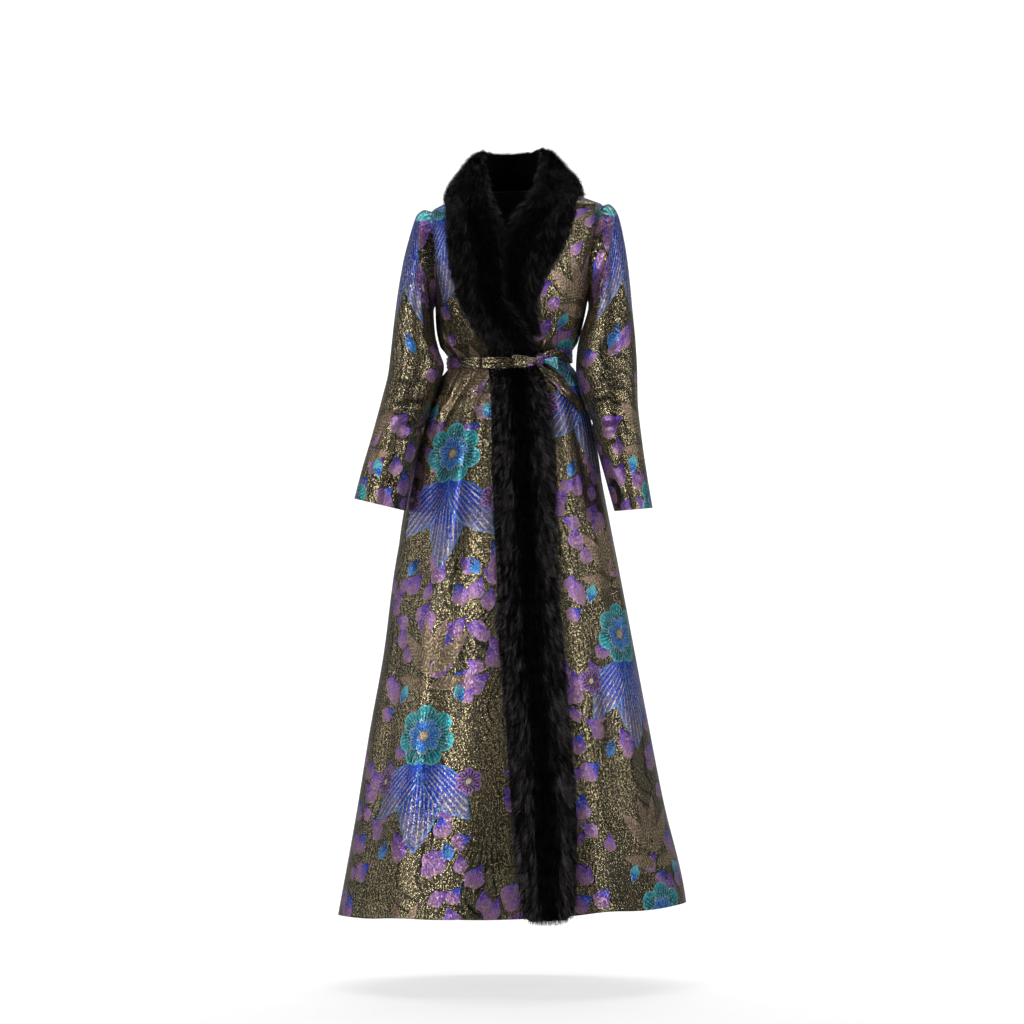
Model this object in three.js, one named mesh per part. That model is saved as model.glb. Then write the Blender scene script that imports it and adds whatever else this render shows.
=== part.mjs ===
import * as THREE from 'three';

// A floor length wrap coat in brocade, filled out as it is worn: a back, two fronts that overlap right
// over left, two sleeves, a fur shawl collar in two halves, a fur band down the front and a tie belt.
// Millimetres, Z up. The wearer faces -Y, and the wearer's left is +X.
// The origin is the middle of the neck, level with the points where the shoulder seams meet it.

// Driving dimensions
const hemHeight = -1437;
const hemRise = 0.4; // of the hem, for each millimetre that a flare stands out
const hemRiseReach = 220; // height above the hem over which that fades
const armholeBottom = -226;
const armholeTop = -38;
const armholeFront = 58; // how far the armhole reaches forward of the shoulder seam
const armholeBack = 60;
const shoulderEnd = 3; // height of the panels' ends at the neck
const clothThickness = 2;
const seamGap = 0.3;
const layerGap = 1; // between a panel and what lies on it
const shoulderGap = 4; // the same where the shoulder curves
const underlap = 5; // how far the left front dips to pass under the right one
const underlapAngle = 12 * Math.PI / 180; // over which it rises again
const poseTilt = 0.035; // the wearer's left side is held higher, by this much for each millimetre of X
const beltHeight = 22;
const beltThickness = 2.4;
const beltMiddle = -342;
const furUnderBelt = 4; // the pile where the belt presses it flat
const peltEdge = 3; // thickness of the fur solids' edges
const pileFullness = 3.2; // exponent of the arch over a fur solid: more is boxier
const armholeSteps = 9;
const backColumns = 26;
const frontColumns = 17;
const sleeveRings = 19;
const beltSteps = 60;
const furStations = 30; // along each fur piece
const collarPoints = 10; // across it
const bandPoints = 8;
const upwardLean = 0.75; // of the pile on top of the neck, against its outward direction
const stepOver = { begin: 0.14, end: 0.03 }; // angle in which the belt rises onto the fur

const degree = Math.PI / 180;

function table(columns, rows) {
  return rows.map((row) => Object.fromEntries(columns.map((name, i) => [name, row[i]])));
}

// Level sections of the coat from the hem up. right and left are half widths on the wearer's two sides,
// front and back are depths, and square is the exponent of the oval: 2 is an ellipse, more is boxier.
const sections = table(['height', 'right', 'left', 'front', 'back', 'square'], [
  [-1480, 351, 348, 239, 265, 2.0],
  [-1396, 336, 336, 229, 253, 2.0],
  [-1236, 308, 299, 212, 234, 2.0],
  [-1076, 283, 269, 194, 214, 2.0],
  [-916, 255, 240, 176, 195, 2.0],
  [-756, 235, 211, 157, 176, 2.0],
  [-596, 205, 181, 138, 154, 2.1],
  [-516, 190, 168, 128, 141, 2.1],
  [-460, 176, 155, 117, 128, 2.1],
  [-420, 162, 142, 107, 115, 2.1],
  [-384, 146, 129, 97, 101, 2.1],
  [-364, 133, 121, 91, 92, 2.1],
  [-342, 126, 115, 86, 86, 2.1],
  [-324, 131, 120, 92, 91, 2.2],
  [-308, 139, 127, 98, 96, 2.2],
  [-276, 147, 138, 108, 101, 2.3],
  [-226, 153, 150, 117, 107, 2.5],
  [-180, 158, 158, 118, 110, 2.7],
  [-126, 163, 168, 113, 109, 2.8],
  [-84, 165, 175, 107, 106, 2.8],
  [-52, 163, 180, 101, 100, 2.7],
  [-38, 160, 181, 96, 96, 2.6],
  [-28, 143, 161, 91, 91, 2.5],
  [-18, 120, 134, 85, 84, 2.4],
  [-8, 96, 105, 79, 77, 2.2],
  [3, 73, 76, 70, 69, 2.1],
  [14, 60, 62, 60, 63, 2.0],
  [40, 52, 54, 50, 58, 2.0],
  [80, 50, 52, 46, 58, 2.0],
]);

// Flares of the skirt: each grows from its start down to the hem. Angles turn from the centre front
// towards the wearer's left.
const flares = table(['angle', 'width', 'depth', 'start'], [
  [-78, 12, 9, -560],
  [-50, 13, 15, -480],
  [-26, 10, 5, -520],
  [42, 12, 15, -460],
  [80, 12, 9, -520],
  [108, 12, 14, -500],
  [134, 12, 17, -470],
  [160, 11, 13, -520],
  [186, 11, 16, -480],
  [212, 12, 14, -500],
  [238, 12, 16, -470],
]);

// Gathers that the belt draws in above and below itself
const gathers = table(['angle', 'depth'], [
  [-82, 6], [-68, 5], [-54, 6], [-41, 4], [44, 6], [57, 5], [70, 6], [84, 5],
  [102, 6], [119, 5], [137, 6], [154, 4], [171, 6], [189, 5], [206, 6], [224, 5], [242, 6], [258, 5],
]);
const gatherWidth = 6;
const gatherStart = 13; // from the belt's middle
const gatherPeak = 34;
const gatherReach = 75;

// The free edge of the right front, from the hem up to the neck, as X at each height
const rightFreeEdge = table(['height', 'x'], [
  [-1437, 108], [-1396, 114], [-1236, 115], [-1076, 104], [-916, 92], [-756, 81], [-596, 75], [-476, 69],
  [-396, 57], [-342, 50], [-312, 36], [-262, 6], [-200, -22], [-140, -25], [-85, -25], [-45, -38],
  [-10, -50], [3, -56],
]);

// The edge of the left front, which lies under the right one as far up as the crossing
const leftFreeEdge = table(['height', 'x'], [
  [-1437, -92], [-916, -76], [-476, -58], [-342, -42], [-262, -50], [-200, -46], [-140, -34], [-85, -12],
  [-45, 26], [-10, 42], [3, 50],
]);

// Shawl collar halves, from the centre back round the neck and down to the belt. Where x is given the
// station lies on the front. inner is the edge at the neck or the opening, outer the edge on the coat.
const collarColumns = ['innerAngle', 'innerX', 'innerHeight', 'outerAngle', 'outerX', 'outerHeight', 'pile'];
const rightCollar = table(collarColumns, [
  [-179.8, null, 76, -179.8, null, -40, 22],
  [-140, null, 76, -142, null, -39, 22],
  [-106, null, 75, -112, null, -27, 21],
  [-82, null, 71, -91, null, -17, 22],
  [null, -47, 44, null, -119, -42, 26],
  [null, -43, 0, null, -121, -88, 32],
  [null, -31, -36, null, -119, -134, 34],
  [null, -17, -78, null, -113, -176, 34],
  [null, -17, -140, null, -102, -216, 32],
  [null, -14, -200, null, -88, -250, 28],
  [null, 14, -262, null, -66, -284, 22],
  [null, 44, -312, null, -48, -315, 13],
  [null, 57, -334, null, -46, -336, furUnderBelt],
]);
const leftCollar = table(collarColumns, [
  [179.8, null, 76, 179.8, null, -40, 22],
  [140, null, 76, 142, null, -39, 22],
  [106, null, 75, 112, null, -26, 21],
  [82, null, 73, 91, null, -15, 22],
  [null, 49, 46, null, 118, -37, 26],
  [null, 44, 6, null, 113, -74, 32],
  [null, 27, -30, null, 104, -110, 34],
  [null, -3, -70, null, 85, -148, 34],
  [null, -14, -136, null, 63, -188, 32],
  [null, -12, -196, null, 47, -228, 26],
  [null, 15, -250, null, 46, -264, 18],
  [null, 37, -292, null, 55, -298, 9],
]);

// The fur band down the right front, from the belt to just below the hem
const furBand = table(['height', 'innerX', 'outerX', 'pile'], [
  [-340.4, 57, -48, furUnderBelt],
  [-363, 58, -46, furUnderBelt],
  [-376, 60, -44, 11],
  [-398, 65, -42, 20],
  [-476, 76, -40, 25],
  [-596, 82, -38, 26],
  [-756, 88, -30, 26],
  [-916, 99, -24, 26],
  [-1076, 111, -10, 26],
  [-1236, 122, 0, 26],
  [-1396, 121, 16, 26],
  [-1428, 116, 22, 24],
  [-1442, 106, 34, 14],
]);

// Rails of a sleeve: the outer one runs over the shoulder and down the outside, the inner one from the
// armpit down the inside. middle is Y of the arm, and depth its half depth front to back.
const sleeveColumns = ['outerX', 'outerHeight', 'innerX', 'innerHeight', 'middle', 'depth'];
const rightSleeve = table(sleeveColumns, [
  [-174, -34, -154.5, -229, -1, 60],
  [-188, -44, -156.5, -238, -4, 60],
  [-200, -72, -156, -248, -10, 60],
  [-212, -114, -155, -262, -17, 60],
  [-224, -176, -153, -284, -25, 60],
  [-233, -240, -145, -318, -33, 60],
  [-240, -305, -135, -352, -40, 59],
  [-246, -358, -147, -392, -46, 58],
  [-260, -415, -166, -446, -52, 57],
  [-279, -485, -183, -505, -56, 56],
  [-297, -546, -198, -570, -61, 55],
  [-313, -607, -211, -635, -66, 54],
]);
const leftSleeve = table(sleeveColumns, [
  [192, -35, 152, -229, -1, 60],
  [206, -49, 152.5, -238, -4, 60],
  [217, -76, 150.5, -250, -10, 60],
  [226, -120, 146, -266, -17, 60],
  [234, -182, 137, -292, -25, 60],
  [240, -248, 129, -330, -33, 59],
  [246, -314, 127, -366, -40, 58],
  [249, -370, 138, -410, -46, 57],
  [250, -430, 153, -462, -52, 56],
  [258, -509, 169, -526, -57, 54],
  [269, -585, 186, -588, -62, 52],
  [279, -646, 203, -650, -67, 50],
]);

// Height of the belt's middle round the waist
const beltPath = table(['angle', 'height'], [
  [-180, -342], [-90, -342], [-20, -349], [14, -350], [27, -347], [42, -336], [62, -335], [90, -339],
  [180, -342],
]);

// The bow: where its pieces lie, measured from the knot along the waist, up, and out from the belt
const knotAngle = 29 * degree;
const knotSize = { wide: 18, tall: 27, thick: 15 };
const bowRight = { length: 46, drop: 9, opening: 9, width: 24 };
const bowLeft = { length: 64, drop: 0, opening: 8, width: 20 };
const tailPath = table(['along', 'up', 'off'], [
  [6.3, -17.3, 11.5], [14, -25, 10], [23, -35, 7], [32, -46, 5], [43, -59, 4], [54, -75, 4], [65, -91, 4],
  [71, -100, 4],
]);
const loopStand = 2.2; // of the loops, out from the belt
const tailWidth = 26;

function between(low, high, share) {
  return low + (high - low) * share;
}

function smooth(low, high, value) {
  const share = Math.min(1, Math.max(0, (value - low) / (high - low)));
  return share * share * (3 - 2 * share);
}

// Slope of a column at a row: the harmonic mean of the slopes on both sides, so no overshoot
function slopeAt(rows, key, column, i) {
  const slope = (a) => (rows[a + 1][column] - rows[a][column]) / (rows[a + 1][key] - rows[a][key]);
  if (i === 0) return slope(0);
  if (i === rows.length - 1) return slope(i - 1);
  const before = slope(i - 1);
  const after = slope(i);
  return before * after <= 0 ? 0 : 2 * before * after / (before + after);
}

// Value of a column where the key column is at a value, on a smooth curve through the rows
function valueAt(rows, key, column, value) {
  const last = rows.length - 1;
  if (value <= rows[0][key]) return rows[0][column];
  if (value >= rows[last][key]) return rows[last][column];
  const i = rows.findIndex((row) => row[key] > value) - 1;
  const span = rows[i + 1][key] - rows[i][key];
  const t = (value - rows[i][key]) / span;
  const start = slopeAt(rows, key, column, i) * span;
  const end = slopeAt(rows, key, column, i + 1) * span;
  const rise = rows[i + 1][column] - rows[i][column];
  return rows[i][column] + t * (start + t * (3 * rise - 2 * start - end + t * (start + end - 2 * rise)));
}

// Shortest turn from one angle in degrees to another
function turn(from, to) {
  return ((to - from + 540) % 360 + 360) % 360 - 180;
}

function flareDepth(angle, height) {
  return flares.reduce((sum, flare) => {
    const grown = Math.max(0, (flare.start - height) / (flare.start - hemHeight));
    return sum + flare.depth * grown ** 1.2 * Math.exp(-((turn(flare.angle, angle) / flare.width) ** 2));
  }, 0);
}

// The cloth hangs at one length, so the hem is higher where a flare carries it out
function hemLift(angle, height) {
  const low = 1 - smooth(hemHeight, hemHeight + hemRiseReach, height);
  return low * hemRise * flareDepth(angle / degree, hemHeight);
}

function gatherDepth(angle, height) {
  const away = Math.abs(height - beltMiddle);
  const strength = smooth(gatherStart, gatherPeak, away)
    * Math.exp(-((Math.max(0, away - gatherPeak) / gatherReach) ** 2));
  return strength * gathers.reduce((sum, gather) =>
    sum + gather.depth * Math.exp(-((turn(gather.angle, angle) / gatherWidth) ** 2)), 0);
}

function sectionAt(height) {
  const names = ['right', 'left', 'front', 'back', 'square'];
  return Object.fromEntries(names.map((name) => [name, valueAt(sections, 'height', name, height)]));
}

// A point of the coat's outer surface. The angle is 0 at the centre front and grows to the wearer's left.
function surfacePoint(angle, height) {
  const section = sectionAt(height);
  const across = Math.sin(angle) / (Math.sin(angle) > 0 ? section.left : section.right);
  const deep = Math.cos(angle) / (Math.cos(angle) > 0 ? section.front : section.back);
  const power = section.square;
  const oval = (Math.abs(across) ** power + Math.abs(deep) ** power) ** (-1 / power);
  const radius = oval + flareDepth(angle / degree, height) + gatherDepth(angle / degree, height);
  return new THREE.Vector3(radius * Math.sin(angle), -radius * Math.cos(angle), height);
}

function surfaceNormal(angle, height) {
  const stepAngle = 0.01;
  const stepHeight = 1.5;
  const around = surfacePoint(angle + stepAngle, height).sub(surfacePoint(angle - stepAngle, height));
  const up = surfacePoint(angle, height + stepHeight).sub(surfacePoint(angle, height - stepHeight));
  return around.cross(up).normalize();
}

function offsetPoint(angle, height, out) {
  return surfacePoint(angle, height).addScaledVector(surfaceNormal(angle, height), out);
}

// Angle of the point on the front that has a given X at a height
function frontAngle(x, height) {
  const section = sectionAt(height);
  const share = Math.min(0.999, Math.abs(x) / (x > 0 ? section.left : section.right));
  return Math.atan2(x, section.front * (1 - share ** section.square) ** (1 / section.square));
}

// A closed body between two grids of points. Where it is closed round, the last column meets the first.
function bodyBetween(outer, inner, closedRound = false) {
  const rows = outer.length;
  const columns = outer[0].length;
  const positions = [...outer.flat(), ...inner.flat()].flatMap((point) => [point.x, point.y, point.z]);
  const at = (side, row, column) => side * rows * columns + row * columns + column % columns;
  const faces = [];
  const quad = (a, b, c, d) => faces.push(a, b, c, a, c, d);
  const spans = closedRound ? columns : columns - 1;
  for (let row = 0; row < rows - 1; row++) {
    for (let column = 0; column < spans; column++) {
      quad(at(0, row, column), at(0, row, column + 1), at(0, row + 1, column + 1), at(0, row + 1, column));
      quad(at(1, row, column), at(1, row + 1, column), at(1, row + 1, column + 1), at(1, row, column + 1));
    }
  }
  for (let column = 0; column < spans; column++) {
    quad(at(0, 0, column), at(1, 0, column), at(1, 0, column + 1), at(0, 0, column + 1));
    const top = rows - 1;
    quad(at(0, top, column), at(0, top, column + 1), at(1, top, column + 1), at(1, top, column));
  }
  if (!closedRound) {
    const end = columns - 1;
    for (let row = 0; row < rows - 1; row++) {
      quad(at(0, row, 0), at(0, row + 1, 0), at(1, row + 1, 0), at(1, row, 0));
      quad(at(0, row, end), at(1, row, end), at(1, row + 1, end), at(0, row + 1, end));
    }
  }
  return solidGeometry(positions, faces);
}

// Geometry with the pose's tilt put in and its faces pointing out
function solidGeometry(positions, faces) {
  const points = [];
  for (let i = 0; i < positions.length; i += 3) {
    const x = positions[i];
    points.push(new THREE.Vector3(x, positions[i + 1], positions[i + 2] + poseTilt * x));
  }
  let volume = 0;
  for (let i = 0; i < faces.length; i += 3) {
    const [a, b, c] = [points[faces[i]], points[faces[i + 1]], points[faces[i + 2]]];
    volume += a.dot(b.clone().cross(c));
  }
  const ordered = volume > 0 ? faces : faces.slice().reverse();
  const geometry = new THREE.BufferGeometry();
  geometry.setAttribute('position', new THREE.Float32BufferAttribute(points.flatMap((p) => p.toArray()), 3));
  geometry.setIndex(ordered);
  geometry.computeVertexNormals();
  return geometry;
}

// Armhole outline, as the share of its height and depth at each of its steps
function armholeHeight(step) {
  const middle = (armholeBottom + armholeTop) / 2;
  const half = (armholeTop - armholeBottom) / 2;
  return middle - half * Math.cos(Math.PI * step / armholeSteps);
}

function armholeDepth(height, reach) {
  const middle = (armholeBottom + armholeTop) / 2;
  const half = (armholeTop - armholeBottom) / 2;
  return reach * Math.sqrt(Math.max(0, 1 - ((height - middle) / half) ** 2));
}

// Angle of the armhole's edge from the centre front (facing 1) or the centre back (facing -1)
function armholeAngle(height, side, facing) {
  const section = sectionAt(height);
  const wide = side > 0 ? section.left : section.right;
  const deep = facing > 0 ? section.front : section.back;
  const reach = armholeDepth(height, facing > 0 ? armholeFront : armholeBack);
  const x = wide * (1 - (reach / deep) ** section.square) ** (1 / section.square);
  return Math.atan2(x, facing * reach) * side;
}

const skirtHeights = [
  hemHeight, -1320, -1210, -1090, -970, -850, -740, -640, -560, -500, -450, -412, -377, -355, -342, -329,
  -308, -272,
];
const armholeHeights = Array.from({ length: armholeSteps + 1 }, (_, step) => armholeHeight(step));
const shoulderHeights = [-30, -20, -9, shoulderEnd];
const panelHeights = [...skirtHeights, ...armholeHeights, ...shoulderHeights];

// Angle of a panel's side edge, half a seam away from the seam line
function sideAngle(height, side, facing) {
  const radius = surfacePoint(side * Math.PI / 2, height).length();
  const inHole = height > armholeBottom && height < armholeTop;
  const edge = inHole ? armholeAngle(height, side, facing) : side * Math.PI / 2;
  return edge - side * facing * seamGap / 2 / Math.max(60, Math.min(radius, 400));
}

function panel(columns, fromAngle, toAngle, outward) {
  const grid = (depth) => panelHeights.map((height) =>
    Array.from({ length: columns + 1 }, (_, column) => {
      const angle = between(fromAngle(height), toAngle(height), column / columns);
      return offsetPoint(angle, height + hemLift(angle, height), outward(angle, height) - depth);
    }));
  return bodyBetween(grid(0), grid(clothThickness));
}

function backPanel() {
  const from = (height) => sideAngle(height, 1, -1);
  const to = (height) => sideAngle(height, -1, -1) + 2 * Math.PI;
  return panel(backColumns, from, to, () => 0);
}

function rightEdgeAngle(height) {
  return frontAngle(valueAt(rightFreeEdge, 'height', 'x', height), height);
}

function rightFront() {
  return panel(frontColumns, (height) => sideAngle(height, -1, 1), rightEdgeAngle, () => 0);
}

// The left front passes under the right one, so it dips as far as the right front's edge
function leftFront() {
  const edge = (height) => frontAngle(valueAt(leftFreeEdge, 'height', 'x', height), height);
  const dip = (angle, height) => {
    const covered = rightEdgeAngle(height);
    return -underlap * (1 - smooth(covered, covered + underlapAngle, angle));
  };
  return panel(frontColumns, edge, (height) => sideAngle(height, 1, 1), dip);
}

// Interpolates the rows of a table at evenly spaced places, on smooth curves through them
function spread(rows, columns, count) {
  const keyed = rows.map((row, i) => ({ ...row, place: i }));
  return Array.from({ length: count }, (_, i) => {
    const place = (rows.length - 1) * i / (count - 1);
    return Object.fromEntries(columns.map((name) => [name, valueAt(keyed, 'place', name, place)]));
  });
}

// Points on the coat's surface from one place to another, evenly spaced along the cloth
function surfaceLine(from, to, count, out) {
  const fine = 60;
  const line = Array.from({ length: fine + 1 }, (_, i) => offsetPoint(
    between(from.angle, to.angle, i / fine),
    between(from.height, to.height, i / fine),
    out,
  ));
  const lengths = [0];
  for (let i = 1; i <= fine; i++) lengths.push(lengths[i - 1] + line[i].distanceTo(line[i - 1]));
  return Array.from({ length: count }, (_, k) => {
    const target = lengths[fine] * k / (count - 1);
    const i = Math.min(fine - 1, Math.max(0, lengths.findIndex((length) => length > target) - 1));
    const start = k === count - 1 ? fine - 1 : i;
    const share = (target - lengths[start]) / (lengths[start + 1] - lengths[start]);
    return line[start].clone().lerp(line[start + 1], share);
  });
}

// The fur over a line of base points: it fills what lies under the chord and arches over it
function furOver(base, pile) {
  const first = base[0];
  const chord = base[base.length - 1].clone().sub(first).normalize();
  const middle = base[Math.floor(base.length / 2)];
  const lean = new THREE.Vector3(0, 0, upwardLean * smooth(-60, 10, middle.z));
  const outward = middle.clone().setZ(0).normalize().add(lean);
  const up = outward.sub(chord.clone().multiplyScalar(outward.dot(chord))).normalize();
  return base.map((point, i) => {
    const share = i / (base.length - 1);
    const arch = (1 - Math.abs(2 * share - 1) ** pileFullness) ** 0.5;
    const above = point.clone().sub(first).dot(up);
    return point.clone().addScaledVector(up, peltEdge + (pile - peltEdge) * arch + Math.max(0, -above));
  });
}

function furSolid(stations, pointsAcross, clear) {
  const inner = stations.map((station) =>
    surfaceLine(station.from, station.to, pointsAcross, clear(station)));
  return bodyBetween(inner.map((line, i) => furOver(line, stations[i].pile)), inner);
}

function collarHalf(rows) {
  const placed = rows.map((row) => ({
    innerAngle: row.innerX === null ? row.innerAngle * degree : frontAngle(row.innerX, row.innerHeight),
    innerHeight: row.innerHeight,
    outerAngle: row.outerX === null ? row.outerAngle * degree : frontAngle(row.outerX, row.outerHeight),
    outerHeight: row.outerHeight,
    pile: row.pile,
  }));
  const columns = ['innerAngle', 'innerHeight', 'outerAngle', 'outerHeight', 'pile'];
  const stations = spread(placed, columns, furStations).map((row) => ({
    from: { angle: row.innerAngle, height: row.innerHeight },
    to: { angle: row.outerAngle, height: row.outerHeight },
    pile: row.pile,
  }));
  const clear = (station) => between(layerGap, shoulderGap, smooth(-190, -90, station.to.height));
  return furSolid(stations, collarPoints, clear);
}

function frontBand() {
  const stations = spread(furBand, ['height', 'innerX', 'outerX', 'pile'], furStations).map((row) => ({
    from: { angle: frontAngle(row.innerX, row.height), height: row.height },
    to: { angle: frontAngle(row.outerX, row.height), height: row.height },
    pile: row.pile,
  }));
  return furSolid(stations, bandPoints, () => layerGap);
}

// Rings of a sleeve. The first one is the armhole's edge, and the cut between them fans out at the armpit.
function sleeve(rows, side) {
  const armpit = surfacePoint(side * Math.PI / 2, armholeBottom);
  const tip = surfacePoint(side * Math.PI / 2, armholeTop);
  const clear = 0.35 * side;
  const start = {
    outerX: tip.x + clear,
    outerHeight: armholeTop,
    innerX: armpit.x + clear,
    innerHeight: armholeBottom,
    middle: 0,
    depth: (armholeFront + armholeBack) / 2,
  };
  const rails = spread([start, ...rows], sleeveColumns, sleeveRings);
  const count = 2 * armholeSteps;
  const ringPoint = (rail, step, shrink) => {
    const angle = 2 * Math.PI * step / count;
    const outer = new THREE.Vector3(rail.outerX, rail.middle, rail.outerHeight);
    const inner = new THREE.Vector3(rail.innerX, rail.middle, rail.innerHeight);
    const half = outer.clone().sub(inner).multiplyScalar(0.5);
    const length = half.length();
    const point = outer.add(inner).multiplyScalar(0.5);
    point.addScaledVector(half, -Math.cos(angle) * (length - shrink) / length);
    point.y -= Math.sin(angle) * (rail.depth - shrink);
    return point;
  };
  const seamPoint = (step, shrink) => {
    const facing = step <= armholeSteps ? 1 : -1;
    const height = armholeHeight(facing > 0 ? step : count - step);
    const edge = surfacePoint(armholeAngle(height, side, facing), height);
    const point = ringPoint(start, step, shrink);
    const lean = ringPoint(start, step, 0).x;
    return point.setX(point.x + edge.x + clear - lean).setY(point.y + edge.y - ringPoint(start, step, 0).y);
  };
  const ring = (rail, index, shrink) => Array.from({ length: count }, (_, step) => {
    const follow = 1 - smooth(0, 3.5, index);
    const point = ringPoint(rail, step, shrink);
    const shift = seamPoint(step, shrink).sub(ringPoint(start, step, shrink));
    return point.addScaledVector(shift, follow);
  });
  const outer = rails.map((rail, index) => ring(rail, index, 0));
  const inner = rails.map((rail, index) => ring(rail, index, clothThickness));
  return bodyBetween(outer, inner, true);
}

// How far the belt stands off the cloth: the flattened fur lies under it at the front
function beltStand(angle) {
  const low = frontAngle(-48, beltMiddle);
  const high = frontAngle(57, beltMiddle);
  const rise = smooth(low - stepOver.begin, low - stepOver.end, angle);
  const fall = smooth(high + stepOver.end, high + stepOver.begin, angle);
  return layerGap + rise * (1 - fall) * (furUnderBelt + layerGap + 0.6);
}

// A point of the belt. It is straight from its lower to its upper edge, clear of the widest cloth there.
function beltPoint(angle, up, out) {
  const height = valueAt(beltPath, 'angle', 'height', angle / degree);
  const half = beltHeight / 2;
  const radii = [-1, -0.5, 0, 0.5, 1].map((share) => {
    const point = surfacePoint(angle, height + share * half);
    return Math.hypot(point.x, point.y);
  });
  const radius = Math.max(...radii) + beltStand(angle) + out;
  return new THREE.Vector3(radius * Math.sin(angle), -radius * Math.cos(angle), height + up);
}

function belt() {
  const ring = (up, out) => Array.from({ length: beltSteps }, (_, i) =>
    beltPoint(between(-Math.PI, Math.PI, i / beltSteps), up, out));
  const half = beltHeight / 2;
  const outer = [ring(-half, beltThickness), ring(half, beltThickness)];
  return bodyBetween(outer, [ring(-half, 0), ring(half, 0)], true);
}

// Turns a place given along the waist, up and out from the knot into a point
function fromKnot(along, up, out) {
  const place = beltPoint(knotAngle, 0, beltThickness);
  const outward = new THREE.Vector3(Math.sin(knotAngle), -Math.cos(knotAngle), 0);
  const sideways = new THREE.Vector3(Math.cos(knotAngle), Math.sin(knotAngle), 0);
  place.addScaledVector(sideways, along).addScaledVector(outward, out);
  return place.setZ(place.z + up);
}

// A strip of folded cloth along a path: for each point its place, half width vector and half thickness
function strip(points, widths, thicks) {
  const corners = [[-1, -1], [1, -1], [1, 1], [-1, 1]];
  const positions = points.flatMap((point, i) => corners.flatMap(([w, t]) =>
    point.clone().addScaledVector(widths[i], w).addScaledVector(thicks[i], t).toArray()));
  const faces = [];
  for (let i = 0; i < points.length - 1; i++) {
    for (let corner = 0; corner < 4; corner++) {
      const next = (corner + 1) % 4;
      const [a, b, c, d] = [4 * i + corner, 4 * i + next, 4 * i + 4 + next, 4 * i + 4 + corner];
      faces.push(a, b, c, a, c, d);
    }
  }
  const end = 4 * (points.length - 1);
  faces.push(0, 2, 1, 0, 3, 2, end, end + 1, end + 2, end, end + 2, end + 3);
  return solidGeometry(positions, faces);
}

function knot() {
  const around = 16;
  const rings = 9;
  const outer = [];
  for (let ring = 0; ring <= rings; ring++) {
    const lift = -Math.cos(Math.PI * (ring + 0.4) / (rings + 0.8));
    const spreadOut = Math.sqrt(1 - lift * lift) ** 0.7;
    outer.push(Array.from({ length: around }, (_, i) => {
      const angle = 2 * Math.PI * i / around;
      return fromKnot(
        knotSize.wide / 2 * spreadOut * Math.cos(angle),
        knotSize.tall / 2 * lift,
        knotSize.thick / 2 * (1 + spreadOut * Math.sin(angle)) + 0.4,
      );
    }));
  }
  const positions = outer.flat().flatMap((point) => point.toArray());
  const faces = [];
  for (let ring = 0; ring < rings; ring++) {
    for (let i = 0; i < around; i++) {
      const next = (i + 1) % around;
      const [a, b] = [ring * around + i, ring * around + next];
      faces.push(a, b, b + around, a, b + around, a + around);
    }
  }
  for (let i = 1; i < around - 1; i++) {
    const top = rings * around;
    faces.push(0, i + 1, i, top, top + i, top + i + 1);
  }
  return solidGeometry(positions, faces);
}

// A loop of the bow: the strip runs out from the knot, turns back on itself and comes home
function bowLoop(size, side) {
  const steps = 20;
  const reach = size.length - size.opening / 2;
  const start = knotSize.wide / 2 + 0.8;
  const path = Array.from({ length: steps + 1 }, (_, i) => {
    const share = i / steps;
    const round = Math.PI * smooth(0.3, 0.7, share) - Math.PI / 2;
    const along = start + (reach - start) * (1 - Math.abs(2 * share - 1) ** 1.6);
    const open = size.opening / 2 * (0.45 + 0.55 * smooth(0, 0.3, Math.min(share, 1 - share)));
    const sag = size.drop * (along / reach) ** 1.5;
    return { along, out: loopStand + knotSize.thick / 2 + open * Math.sin(round), sag };
  });
  const points = path.map((p) => fromKnot(side * p.along, -p.sag, p.out));
  const half = size.width / 2;
  const widths = path.map((p) => {
    const narrow = between(0.62, 1, smooth(start, start + 16, p.along));
    return new THREE.Vector3(0, 0, half * narrow);
  });
  const thicks = points.map((point, i) => {
    const before = points[Math.max(0, i - 1)];
    const after = points[Math.min(steps, i + 1)];
    const run = after.clone().sub(before);
    return run.cross(new THREE.Vector3(0, 0, 1)).normalize().multiplyScalar(beltThickness / 2);
  });
  return strip(points, widths, thicks);
}

// The tail hangs on the coat, square to its surface
function tail() {
  const rows = spread(tailPath, ['along', 'up', 'off'], 14);
  const knotPlace = beltPoint(knotAngle, 0, 0);
  const radius = Math.hypot(knotPlace.x, knotPlace.y);
  const places = rows.map((row) => ({ angle: knotAngle + row.along / radius, height: knotPlace.z + row.up }));
  const normals = places.map((place) => surfaceNormal(place.angle, place.height));
  const points = places.map((place, i) => offsetPoint(place.angle, place.height, rows[i].off));
  const widths = points.map((point, i) => {
    const run = points[Math.min(points.length - 1, i + 1)].clone().sub(points[Math.max(0, i - 1)]);
    const narrow = between(0.5, 1, smooth(0, 5, i));
    return run.cross(normals[i]).normalize().multiplyScalar(tailWidth / 2 * narrow);
  });
  const thicks = normals.map((normal) => normal.clone().multiplyScalar(beltThickness / 2));
  return strip(points, widths, thicks);
}

const brocade = { color: 0x4a4530, roughness: 0.45, metalness: 0.5 };
const fur = { color: 0x08080a, roughness: 0.9, metalness: 0 };

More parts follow.
